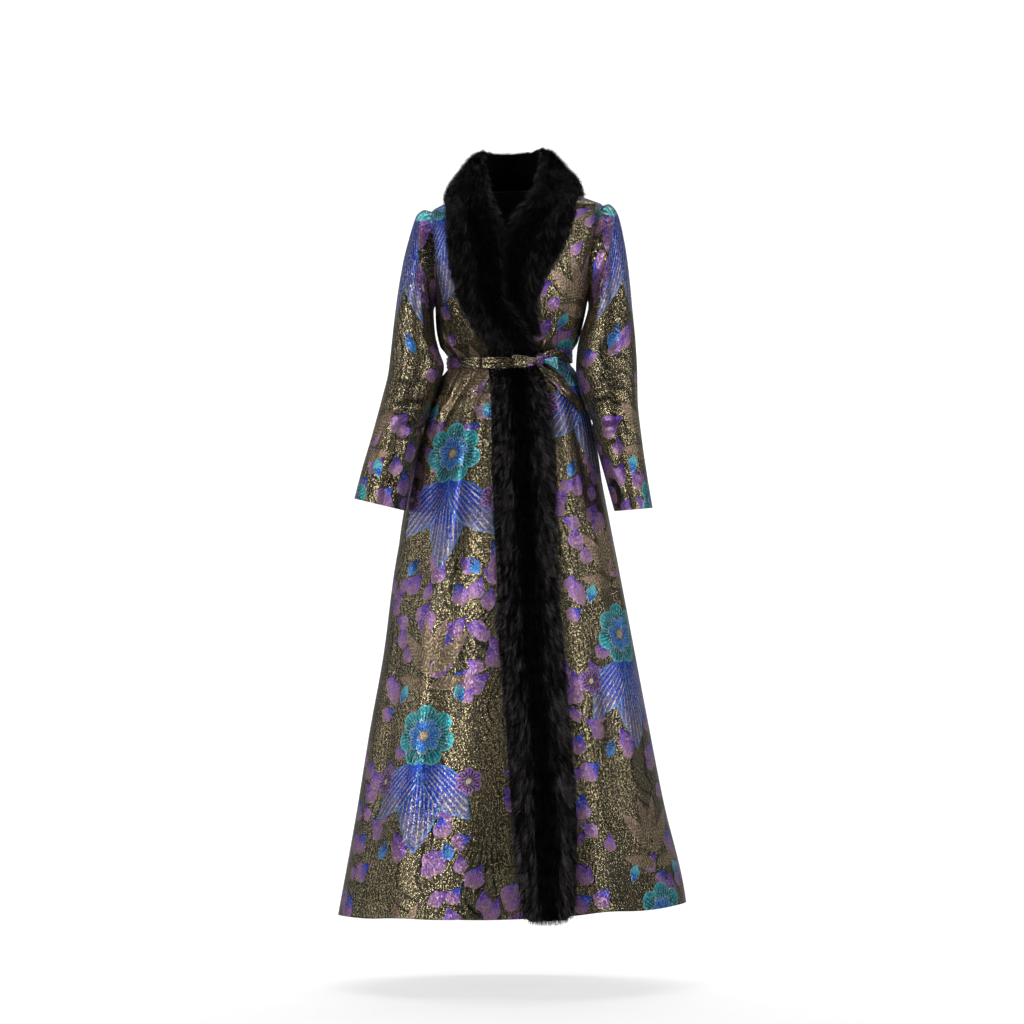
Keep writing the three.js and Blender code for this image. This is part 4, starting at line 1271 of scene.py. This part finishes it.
def hairLengths(s, share, stations, kind, random):
    # Short at the edges, but long where the inner edge of one half lies on the other
    keys = np.arange(len(stations[4]))
    full = np.clip(np.interp(s, keys, stations[4]) / kind["fullPile"], 0.3, 1) ** 0.8
    length = kind["length"] * random.uniform(0.65, 1.15, len(s)) * full
    height = np.interp(s, keys, stations[1])
    inner = kind["shortInner"] * smooth(kind["lapTop"] - 50, kind["lapTop"], height)
    return length * (1 - kind["shortOuter"] * smooth(0.66, 1, share) - inner * smooth(0.2, 0, share))


def hairToneAndSheen(s, t, share, kind, random):
    # Paler hair: some at random, which is the hair's own tone, and narrow streaks of painted sheen, few of
    # them along the parting
    sheenStreaks = random.uniform(0, 1, (400, 400)) ** 2
    column = np.floor(t / kind["sheenStreakWide"]).astype(int)
    sheenStreak = sheenStreaks[np.floor(s / 2.2 + column * 0.37).astype(int) % 400, column % 400]
    tone = random.uniform(0, 1, len(s)) ** 2 * 0.5 + sheenStreak * 0.7
    return tone * (0.35 + 0.65 * smooth(0.04, 0.26, np.abs(share - kind["parting"]))) * kind["paleAndSheen"]


def growHairs(coat, stations, kind, random):
    # Five points for each hair, two at the root, two in the middle and one at the tip, and each hair's tone
    # with its painted sheen
    low, normal, down, outwards = coat
    count = int(kind["hairs"] * (1))
    s, t = rootPlaces(low, count, random)
    share = t / (low.shape[1] - 1)
    root = gridSample(low, s, t)
    n, d, o = [unitOf(gridSample(grid, s, t)) for grid in (normal, down, outwards)]
    length = hairLengths(s, share, stations, kind, random)
    spreadOut = (share - kind["parting"]) * kind["spread"]
    jitter = random.normal(0, kind["mess"], (count, 3))
    # Hairs lie along the pelt and away from its parting, and by the centre-back seam across it both ways
    combed = smooth(0, kind["seamReach"], s)[:, None] if kind["seamReach"] else 1
    jitter = jitter + d * (random.uniform(-0.8, 0.8, count)[:, None] * (1 - combed))
    flow = unitOf(d * kind["down"] * combed + o * spreadOut[:, None] + jitter + [0, 0, -kind["droop"]])
    # Guard hairs stand up more than the others and are in no clump
    guard = random.uniform(0, 1, count) < kind["guard"]
    length = np.where(guard, length * kind["guardLonger"], length)
    rise = np.where(guard, kind["rise"] * 2.2, kind["rise"])[:, None]
    first = unitOf(n * rise + flow * (1 - rise * 0.5))
    second = unitOf(n * rise * 0.35 + flow)
    middle = root + first * (length * 0.5)[:, None]
    tip = middle + second * (length * 0.5)[:, None]
    # Clumps: tips are drawn towards the mean tip of their cell of the pelt. Some clumps stand up as tufts,
    # which make the outline of the fur uneven. Two large primes give every cell a number of its own.
    cellS, cellT = np.floor(s / kind["clumpRows"]), np.floor(t / kind["clumpColumns"])
    cellNumbers = (cellS * 7919 + cellT * 104729).astype(np.int64)
    cells, inverse = np.unique(cellNumbers, return_inverse=True)
    sums = np.zeros((len(cells), 3))
    np.add.at(sums, inverse, tip)
    means = sums / np.bincount(inverse)[:, None]
    clumpTip = (means + random.normal(0, 2.0, (len(cells), 3)))[inverse]
    clumpTip = clumpTip + n * (random.uniform(0, 1, len(cells)) ** 1.5 * kind["tuft"])[inverse][:, None]
    pull = (kind["clump"] * random.uniform(0.3, 1.0, count) * ~guard)[:, None]
    tip = tip + (clumpTip - tip) * pull
    middle = middle + (clumpTip - middle) * pull * 0.22
    wide = kind["width"] * random.uniform(0.6, 1.2, count)[:, None] / 2 * np.where(guard, 0.9, 1)[:, None]
    side = unitOf(np.cross(tip - root, random.normal(0, 1, (count, 3)) + n * 0.3)) * wide
    start = root - first * 1.5
    points = np.stack([start - side, start + side, middle - side * 0.8, middle + side * 0.8, tip], 1)
    return points.reshape(-1, 3), hairToneAndSheen(s, t, share, kind, random)


def fur(name, node, stations, across, clear, kind, seed):
    random = np.random.default_rng(seed)
    base = furBase(stations, across, clear)
    coat = undercoat(base, stations[4], kind, seed)
    hairPoints, tone = growHairs(coat, stations, kind, random)
    # The pelt is a closed body between the base and the undercoat
    body = np.concatenate(wallFaces(*base.shape[:2]))
    if kind["flip"]:
        body = body[:, ::-1]
    peltPoints = np.concatenate([coat[0].reshape(-1, 3), base.reshape(-1, 3)])
    firstPoint = len(peltPoints) + np.arange(len(tone))[:, None] * 5
    quads, ends = firstPoint + np.array([[0, 1, 3, 2]]), firstPoint + np.array([[2, 3, 4]])
    kinds = np.concatenate([np.zeros(len(body)), np.ones(len(quads) + len(ends))])
    points = tilted(np.concatenate([peltPoints, hairPoints]))
    made = makeMesh(name, points, [body, quads, ends], None, kinds, (pelt, furHair))
    # Each hair's tone: its own paleness and its painted sheen streaks
    values = np.concatenate([np.zeros(len(peltPoints)), np.repeat(tone, 5)]).astype(np.float32)
    made.data.attributes.new("tone", "FLOAT", "POINT").data.foreach_set("value", values)
    finish(made, node)
    print("stage:", name, len(body) * 2 + len(quads) * 2 + len(ends), "triangles")


# Hair and pile in millimetres, painted sheen streaks and clumps in rows and columns of the pelt, the rest as
# shares
collarKind = {
    "undercoat": 0.6, "edge": 3.0, "lump": 2.2, "hairs": 60000, "length": 27, "fullPile": 30, "parting": 0.30,
    "spread": 1.2, "mess": 0.22, "down": 0.8, "droop": 0.25, "rise": 0.42, "clump": 0.8, "clumpRows": 2.6,
    "clumpColumns": 1.7, "shortOuter": 0.5, "shortInner": 0.6, "width": 0.55, "flip": False, "guard": 0.28,
    "guardLonger": 1.2, "seamReach": 7.0, "lapTop": -60, "tuft": 10.0, "sheenStreakWide": 0.4, "paleAndSheen": 0.72,
}
# The band's hair has more painted sheen than the collar's
bandKind = dict(
    collarKind, undercoat=0.66, hairs=61000, length=21, fullPile=26, parting=0.5, spread=1.3, mess=0.26,
    down=0.9, droop=0.3, rise=0.40, lump=2.0, clumpRows=3.0, shortInner=0.5, seamReach=0, lapTop=-2000,
    tuft=8.0, sheenStreakWide=0.33, paleAndSheen=1.0)


def collarClear(stations):
    return form["layer"] + (form["shoulderLayer"] - form["layer"]) * smooth(-190, -90, stations[3])


rightStations = collarStations(rightCollar, 130)
leftStations = collarStations(leftCollar, 120)
bandPlaces = bandStations(furBand, 170)
fur("furCollarRight", "collar_fur_right", rightStations, 26, collarClear(rightStations), collarKind, 21)
fur("furCollarLeft", "collar_fur_left", leftStations, 26, collarClear(leftStations),
    dict(collarKind, flip=True), 22)
fur("furFrontBand", "front_fur_band", bandPlaces, 20, np.full(170, float(form["layer"])), bandKind, 23)


# Belt, knot, loops and tail: crumpled strips

beltForm = {
    "height": 22, "thickness": 2.4, "underFur": 4, "begin": 0.14, "end": 0.03, "knotAngle": 29 * degree,
    "furRight": -48, "furLeft": 57, "knotWide": 18, "knotTall": 27, "knotThick": 15, "loopStand": 2.2,
    "tailWidth": 26, "radius": 105, "knotRadius": 9,
}
beltPath = table(("angle", "height"), [
    (-180, -342), (-90, -342), (-20, -349), (14, -350), (27, -347), (42, -336), (62, -335), (90, -339),
    (180, -342),
])
tailPath = table(("along", "up", "off"), [
    (6.3, -17.3, 11.5), (14, -25, 10), (23, -35, 7), (32, -46, 5), (43, -59, 4), (54, -75, 4), (65, -91, 4),
    (71, -100, 4),
])


def beltPoint(angle, up, out):
    # The belt stands clear of the widest cloth that it covers, and over the flattened fur at the front
    height = curve(beltPath["angle"], beltPath["height"], angle / degree)
    radii = [np.linalg.norm(surfacePoint(angle, height + share * beltForm["height"] / 2)[..., :2], axis=-1)
             for share in (-1, -0.5, 0, 0.5, 1)]
    middle = np.array(float(form["beltMiddle"]))
    low, high = [frontAngle(np.array(float(beltForm[side])), middle) for side in ("furRight", "furLeft")]
    rise = smooth(low - beltForm["begin"], low - beltForm["end"], angle)
    fall = 1 - smooth(high + beltForm["end"], high + beltForm["begin"], angle)
    stand = form["layer"] + rise * fall * (beltForm["underFur"] + form["layer"] + 0.6)
    radius = np.max(radii, 0) + stand + out
    return np.stack([radius * np.sin(angle), -radius * np.cos(angle), height + up], -1)


def fromKnot(along, up, out):
    angle = beltForm["knotAngle"]
    place = beltPoint(np.array(angle), np.array(0.0), np.array(beltForm["thickness"]))
    outward = np.array([math.sin(angle), -math.cos(angle), 0])
    sideways = np.array([math.cos(angle), math.sin(angle), 0])
    flat = place + along[..., None] * sideways + out[..., None] * outward
    return flat + up[..., None] * np.array([0, 0, 1.0])


def crumple(along, across, pitch, seed):
    # Lengthwise ridges, from -1 to 1: lines across the strip that wander, part and meet along it
    wander = np.sin(along / 37 + seed) * 1.3 + np.sin(along / 17 + seed * 2.1) * 0.6
    strength = 0.65 + 0.35 * np.sin(along / 23 + seed * 3.3)
    ridges = strength * np.cos(2 * math.pi * across / pitch + wander) * 0.7
    return ridges + 0.3 * np.sin(2 * math.pi * across / (pitch * 0.43) - wander * 1.7)


def makeBelt():
    around, wide = 300, 15
    angle = np.linspace(-math.pi, math.pi, around, endpoint=False)[None]
    share = np.linspace(-1, 1, wide)[:, None]
    along = angle * beltForm["radius"]
    narrow = 1 - 0.22 * np.exp(-(((angle - beltForm["knotAngle"]) / 0.28) ** 2)) - 0.06 * np.sin(along / 29)
    up = share * (beltForm["height"] / 2 - 0.4) * narrow
    fold = crumple(along, up, 9.5, 0.7) * (1 - share ** 4)
    outer = beltPoint(angle + 0 * share, up, beltForm["thickness"] - 0.7 + 0.9 * fold)
    inner = beltPoint(angle + 0 * share, up, 0.3 + 0 * fold)
    turn = np.append(along[0], along[0, 0] + 2 * math.pi * beltForm["radius"])
    places = onCloth(up[:, :1], turn[None], (150, -60))
    made = shell("clothBelt", outer, inner, places, (brocade, brocade), closedRound=True)
    finishCloth(made, "belt")
    return outer


def makeKnot():
    # A flattened ball with the slanting folds of the strip that is wound round it, and a deep groove
    rings, around = 40, 64
    lift = -np.cos(math.pi * (np.arange(rings) + 0.5) / rings)[:, None]
    angle = np.linspace(0, 2 * math.pi, around, endpoint=False)[None]
    spread = np.sqrt(1 - lift ** 2) ** 0.7
    groove = (np.sin(angle - 0.9) * spread + lift * 0.9) / 0.18
    fold = 1 + 0.055 * np.sin(5 * angle + 6 * lift) * spread - 0.10 * np.exp(-(groove ** 2))
    outer = fromKnot(beltForm["knotWide"] / 2 * spread * np.cos(angle) * fold,
                     beltForm["knotTall"] / 2 * lift + 0 * angle,
                     beltForm["knotThick"] / 2 * (1 + spread * np.sin(angle) * fold) + 0.4)
    cloth = onCloth(np.append(angle[0], 2 * math.pi)[None] * beltForm["knotRadius"], lift * 14, (70, -62))
    # A point at each pole, joined to the ring next to it
    count, last = rings * around, (rings - 1) * around
    poles = [ring.mean(0, keepdims=True) for ring in (outer[0], outer[-1])]
    points = np.concatenate([outer.reshape(-1, 3), *poles])
    here, after = np.arange(around), (np.arange(around) + 1) % around
    low = np.stack([here, np.full(around, count), after], -1)
    high = np.stack([after + last, np.full(around, count + 1), here + last], -1)
    places = [gridPlaces(cloth, rings, around, True).reshape(-1, 2)]
    for ring in (cloth[0, :around], cloth[-1, :around]):
        places.append(np.repeat(ring, 3, 0))
    faces = [gridFaces(rings, around, 0, True), low, high]
    made = makeMesh("clothKnot", tilted(points), faces, np.concatenate(places) * millimetre, None, (brocade,))
    finish(made, "belt_knot")


def strip(name, middle, half, normal, thick, folds, places):
    # A strip along a line: its middle, half its width as a vector at each step, the way it faces, its folds
    share = np.linspace(-1, 1, folds.shape[1])
    surface = middle[:, None] + half[:, None] * share[None, :, None]
    outer = surface + normal[:, None] * (folds + thick / 2)[..., None]
    inner = surface + normal[:, None] * (folds - thick / 2)[..., None]
    return shell(name, outer, inner, places, (brocade, brocade), flip=True)


def bowLoop(name, node, size, side):
    steps, wide = 72, 13
    share = np.linspace(0, 1, steps + 1)
    reach = size["length"] - size["opening"] / 2
    start = beltForm["knotWide"] / 2 + 0.8
    turn = math.pi * smooth(0.3, 0.7, share) - math.pi / 2
    along = start + (reach - start) * (1 - np.abs(2 * share - 1) ** 1.6)
    opened = size["opening"] / 2 * (0.45 + 0.55 * smooth(0, 0.3, np.minimum(share, 1 - share)))
    sag = size["drop"] * (along / reach) ** 1.5
    stand = beltForm["loopStand"] + beltForm["knotThick"] / 2
    middle = fromKnot(side * along, -sag, stand + opened * np.sin(turn))
    run = np.gradient(middle, axis=0)
    normal = unitOf(np.cross(run, np.array([0, 0, 1.0]))) * side
    narrow = size["narrow"] + (1 - size["narrow"]) * smooth(start, start + size["widens"], along)
    half = np.stack([side * narrow * size["slant"], 0 * narrow, narrow * size["width"] / 2], -1)
    line = runAlong(middle)
    across = np.linspace(-1, 1, wide)[None] * size["width"] / 2
    folds = 0.45 * crumple(line[:, None], across, size["pitch"], size["seed"])
    made = strip(name, middle, half, normal, 1.3, folds, onCloth(across, line[:, None], size["origin"]))
    if side < 0:
        made.data.flip_normals()
    finishCloth(made, node)


def makeTail():
    steps, wide = 60, 17
    keys = np.arange(len(tailPath["along"]))
    place = np.linspace(0, len(keys) - 1, steps)
    along, up, off = [curve(keys, tailPath[name], place) for name in ("along", "up", "off")]
    knotPlace = beltPoint(np.array(beltForm["knotAngle"]), np.array(0.0), np.array(0.0))
    angle = beltForm["knotAngle"] + along / math.hypot(knotPlace[0], knotPlace[1])
    height = knotPlace[2] + up
    normal = surfaceNormal(angle, height)
    middle = offsetPoint(angle, height, off)
    run = np.gradient(middle, axis=0)
    narrow = 0.42 + 0.58 * smooth(0, 0.55, place / place[-1])
    half = unitOf(np.cross(run, normal)) * (beltForm["tailWidth"] / 2 * narrow)[:, None]
    share = np.linspace(-1, 1, wide)[None]
    line = runAlong(middle)[:, None]
    # One deep fold along it, nearer the upper edge, and a rolled lower edge
    deep = np.linspace(1, 0.45, steps)[:, None]
    ridge = 1.5 * np.exp(-(((share + 0.15) / 0.28) ** 2)) + 0.9 * np.exp(-(((share - 0.78) / 0.2) ** 2))
    trough = 1.1 * np.exp(-(((share - 0.30) / 0.16) ** 2))
    folds = deep * (ridge - trough) + 0.25 * np.sin(line / 9 + share * 5)
    places = onCloth(share * beltForm["tailWidth"] / 2, line, (165, -150))
    made = strip("clothTail", middle, half, normal, 1.6, folds, places)
    finishCloth(made, "belt_tail")


beltGrid = makeBelt()
makeKnot()
loopLeft = {
    "length": 46, "drop": 9, "opening": 9, "width": 24, "narrow": 0.36, "widens": 26, "slant": -2.0,
    "pitch": 7, "seed": 1.0, "origin": (45, -17),
}
loopRight = {
    "length": 64, "drop": 0, "opening": 8, "width": 20, "narrow": 0.45, "widens": 44, "slant": 3.0,
    "pitch": 8, "seed": 2.0, "origin": (120, 160),
}
bowLoop("clothLoopLeft", "bow_loop_left", loopLeft, 1)
bowLoop("clothLoopRight", "bow_loop_right", loopRight, -1)
makeTail()
print("stage: belt", wallArea(beltGrid, True))


# The floor, last, so that it is no part of the coat

def makeFloor():
    bend = np.linspace(0, math.pi / 2, 14)
    y = np.concatenate([[studio["floorFront"]], studio["wallAway"] + studio["wallBend"] * np.sin(bend),
                        [studio["wallAway"] + studio["wallBend"]]])
    rise = np.concatenate([[0], studio["wallBend"] * (1 - np.cos(bend)), [studio["wallTop"]]])
    z = rise + studio["floorHeight"]
    sides = [np.stack([np.full_like(y, side * studio["halfWide"]), y, z], -1) for side in (-1, 1)]
    points = np.stack(sides, 1)
    made = makeMesh("floor", points.reshape(-1, 3), [gridFaces(len(y), 2, 0)])
    material, tree, shader = newMaterial("floorPaper")
    tone = noise(objectPlace(tree), 0.6, 1.0)
    setInputs(shader, {
        "Base Color": mixColour(tone, (0.50, 0.50, 0.50), (0.52, 0.52, 0.52)), "Roughness": 0.6,
        "Emission Color": (1, 1, 1, 1), "Emission Strength": 0.62,
    })
    # A camera behind the wall looks through it
    clear = tree.nodes.new("ShaderNodeBsdfTransparent")
    sides = tree.nodes.new("ShaderNodeMixShader")
    behind = tree.nodes.new("ShaderNodeNewGeometry").outputs["Backfacing"]
    for source, socket in ((behind, sides.inputs["Fac"]), (shader.outputs[0], sides.inputs[1]),
                           (clear.outputs[0], sides.inputs[2]),
                           (sides.outputs[0], tree.nodes["Material Output"].inputs["Surface"])):
        tree.links.new(source, socket)
    made.data.materials.append(material)
    # Metal thread doesn't mirror the bright floor
    made.visible_glossy = False


def makeWorld():
    # A pale room behind, and less light from the camera's side, so that metal thread has dark to mirror too.
    # The camera itself sees the room as white from every side.
    world = bpy.data.worlds.new("studio")
    world.use_nodes = True
    tree = world.node_tree
    generated = tree.nodes.new("ShaderNodeTexCoord").outputs["Generated"]
    x, y, z = splitVector(field(tree, generated))
    room = mixColour(ramp(y, 0.1, 0.7), (0.065, 0.065, 0.068), (0.24, 0.24, 0.24))
    seen = field(tree, tree.nodes.new("ShaderNodeLightPath").outputs["Is Camera Ray"])
    setInputs(tree.nodes["Background"], {"Color": mixColour(seen, room, (0.9, 0.9, 0.9)), "Strength": 0.9})
    scene.world = world


makeFloor()
makeWorld()
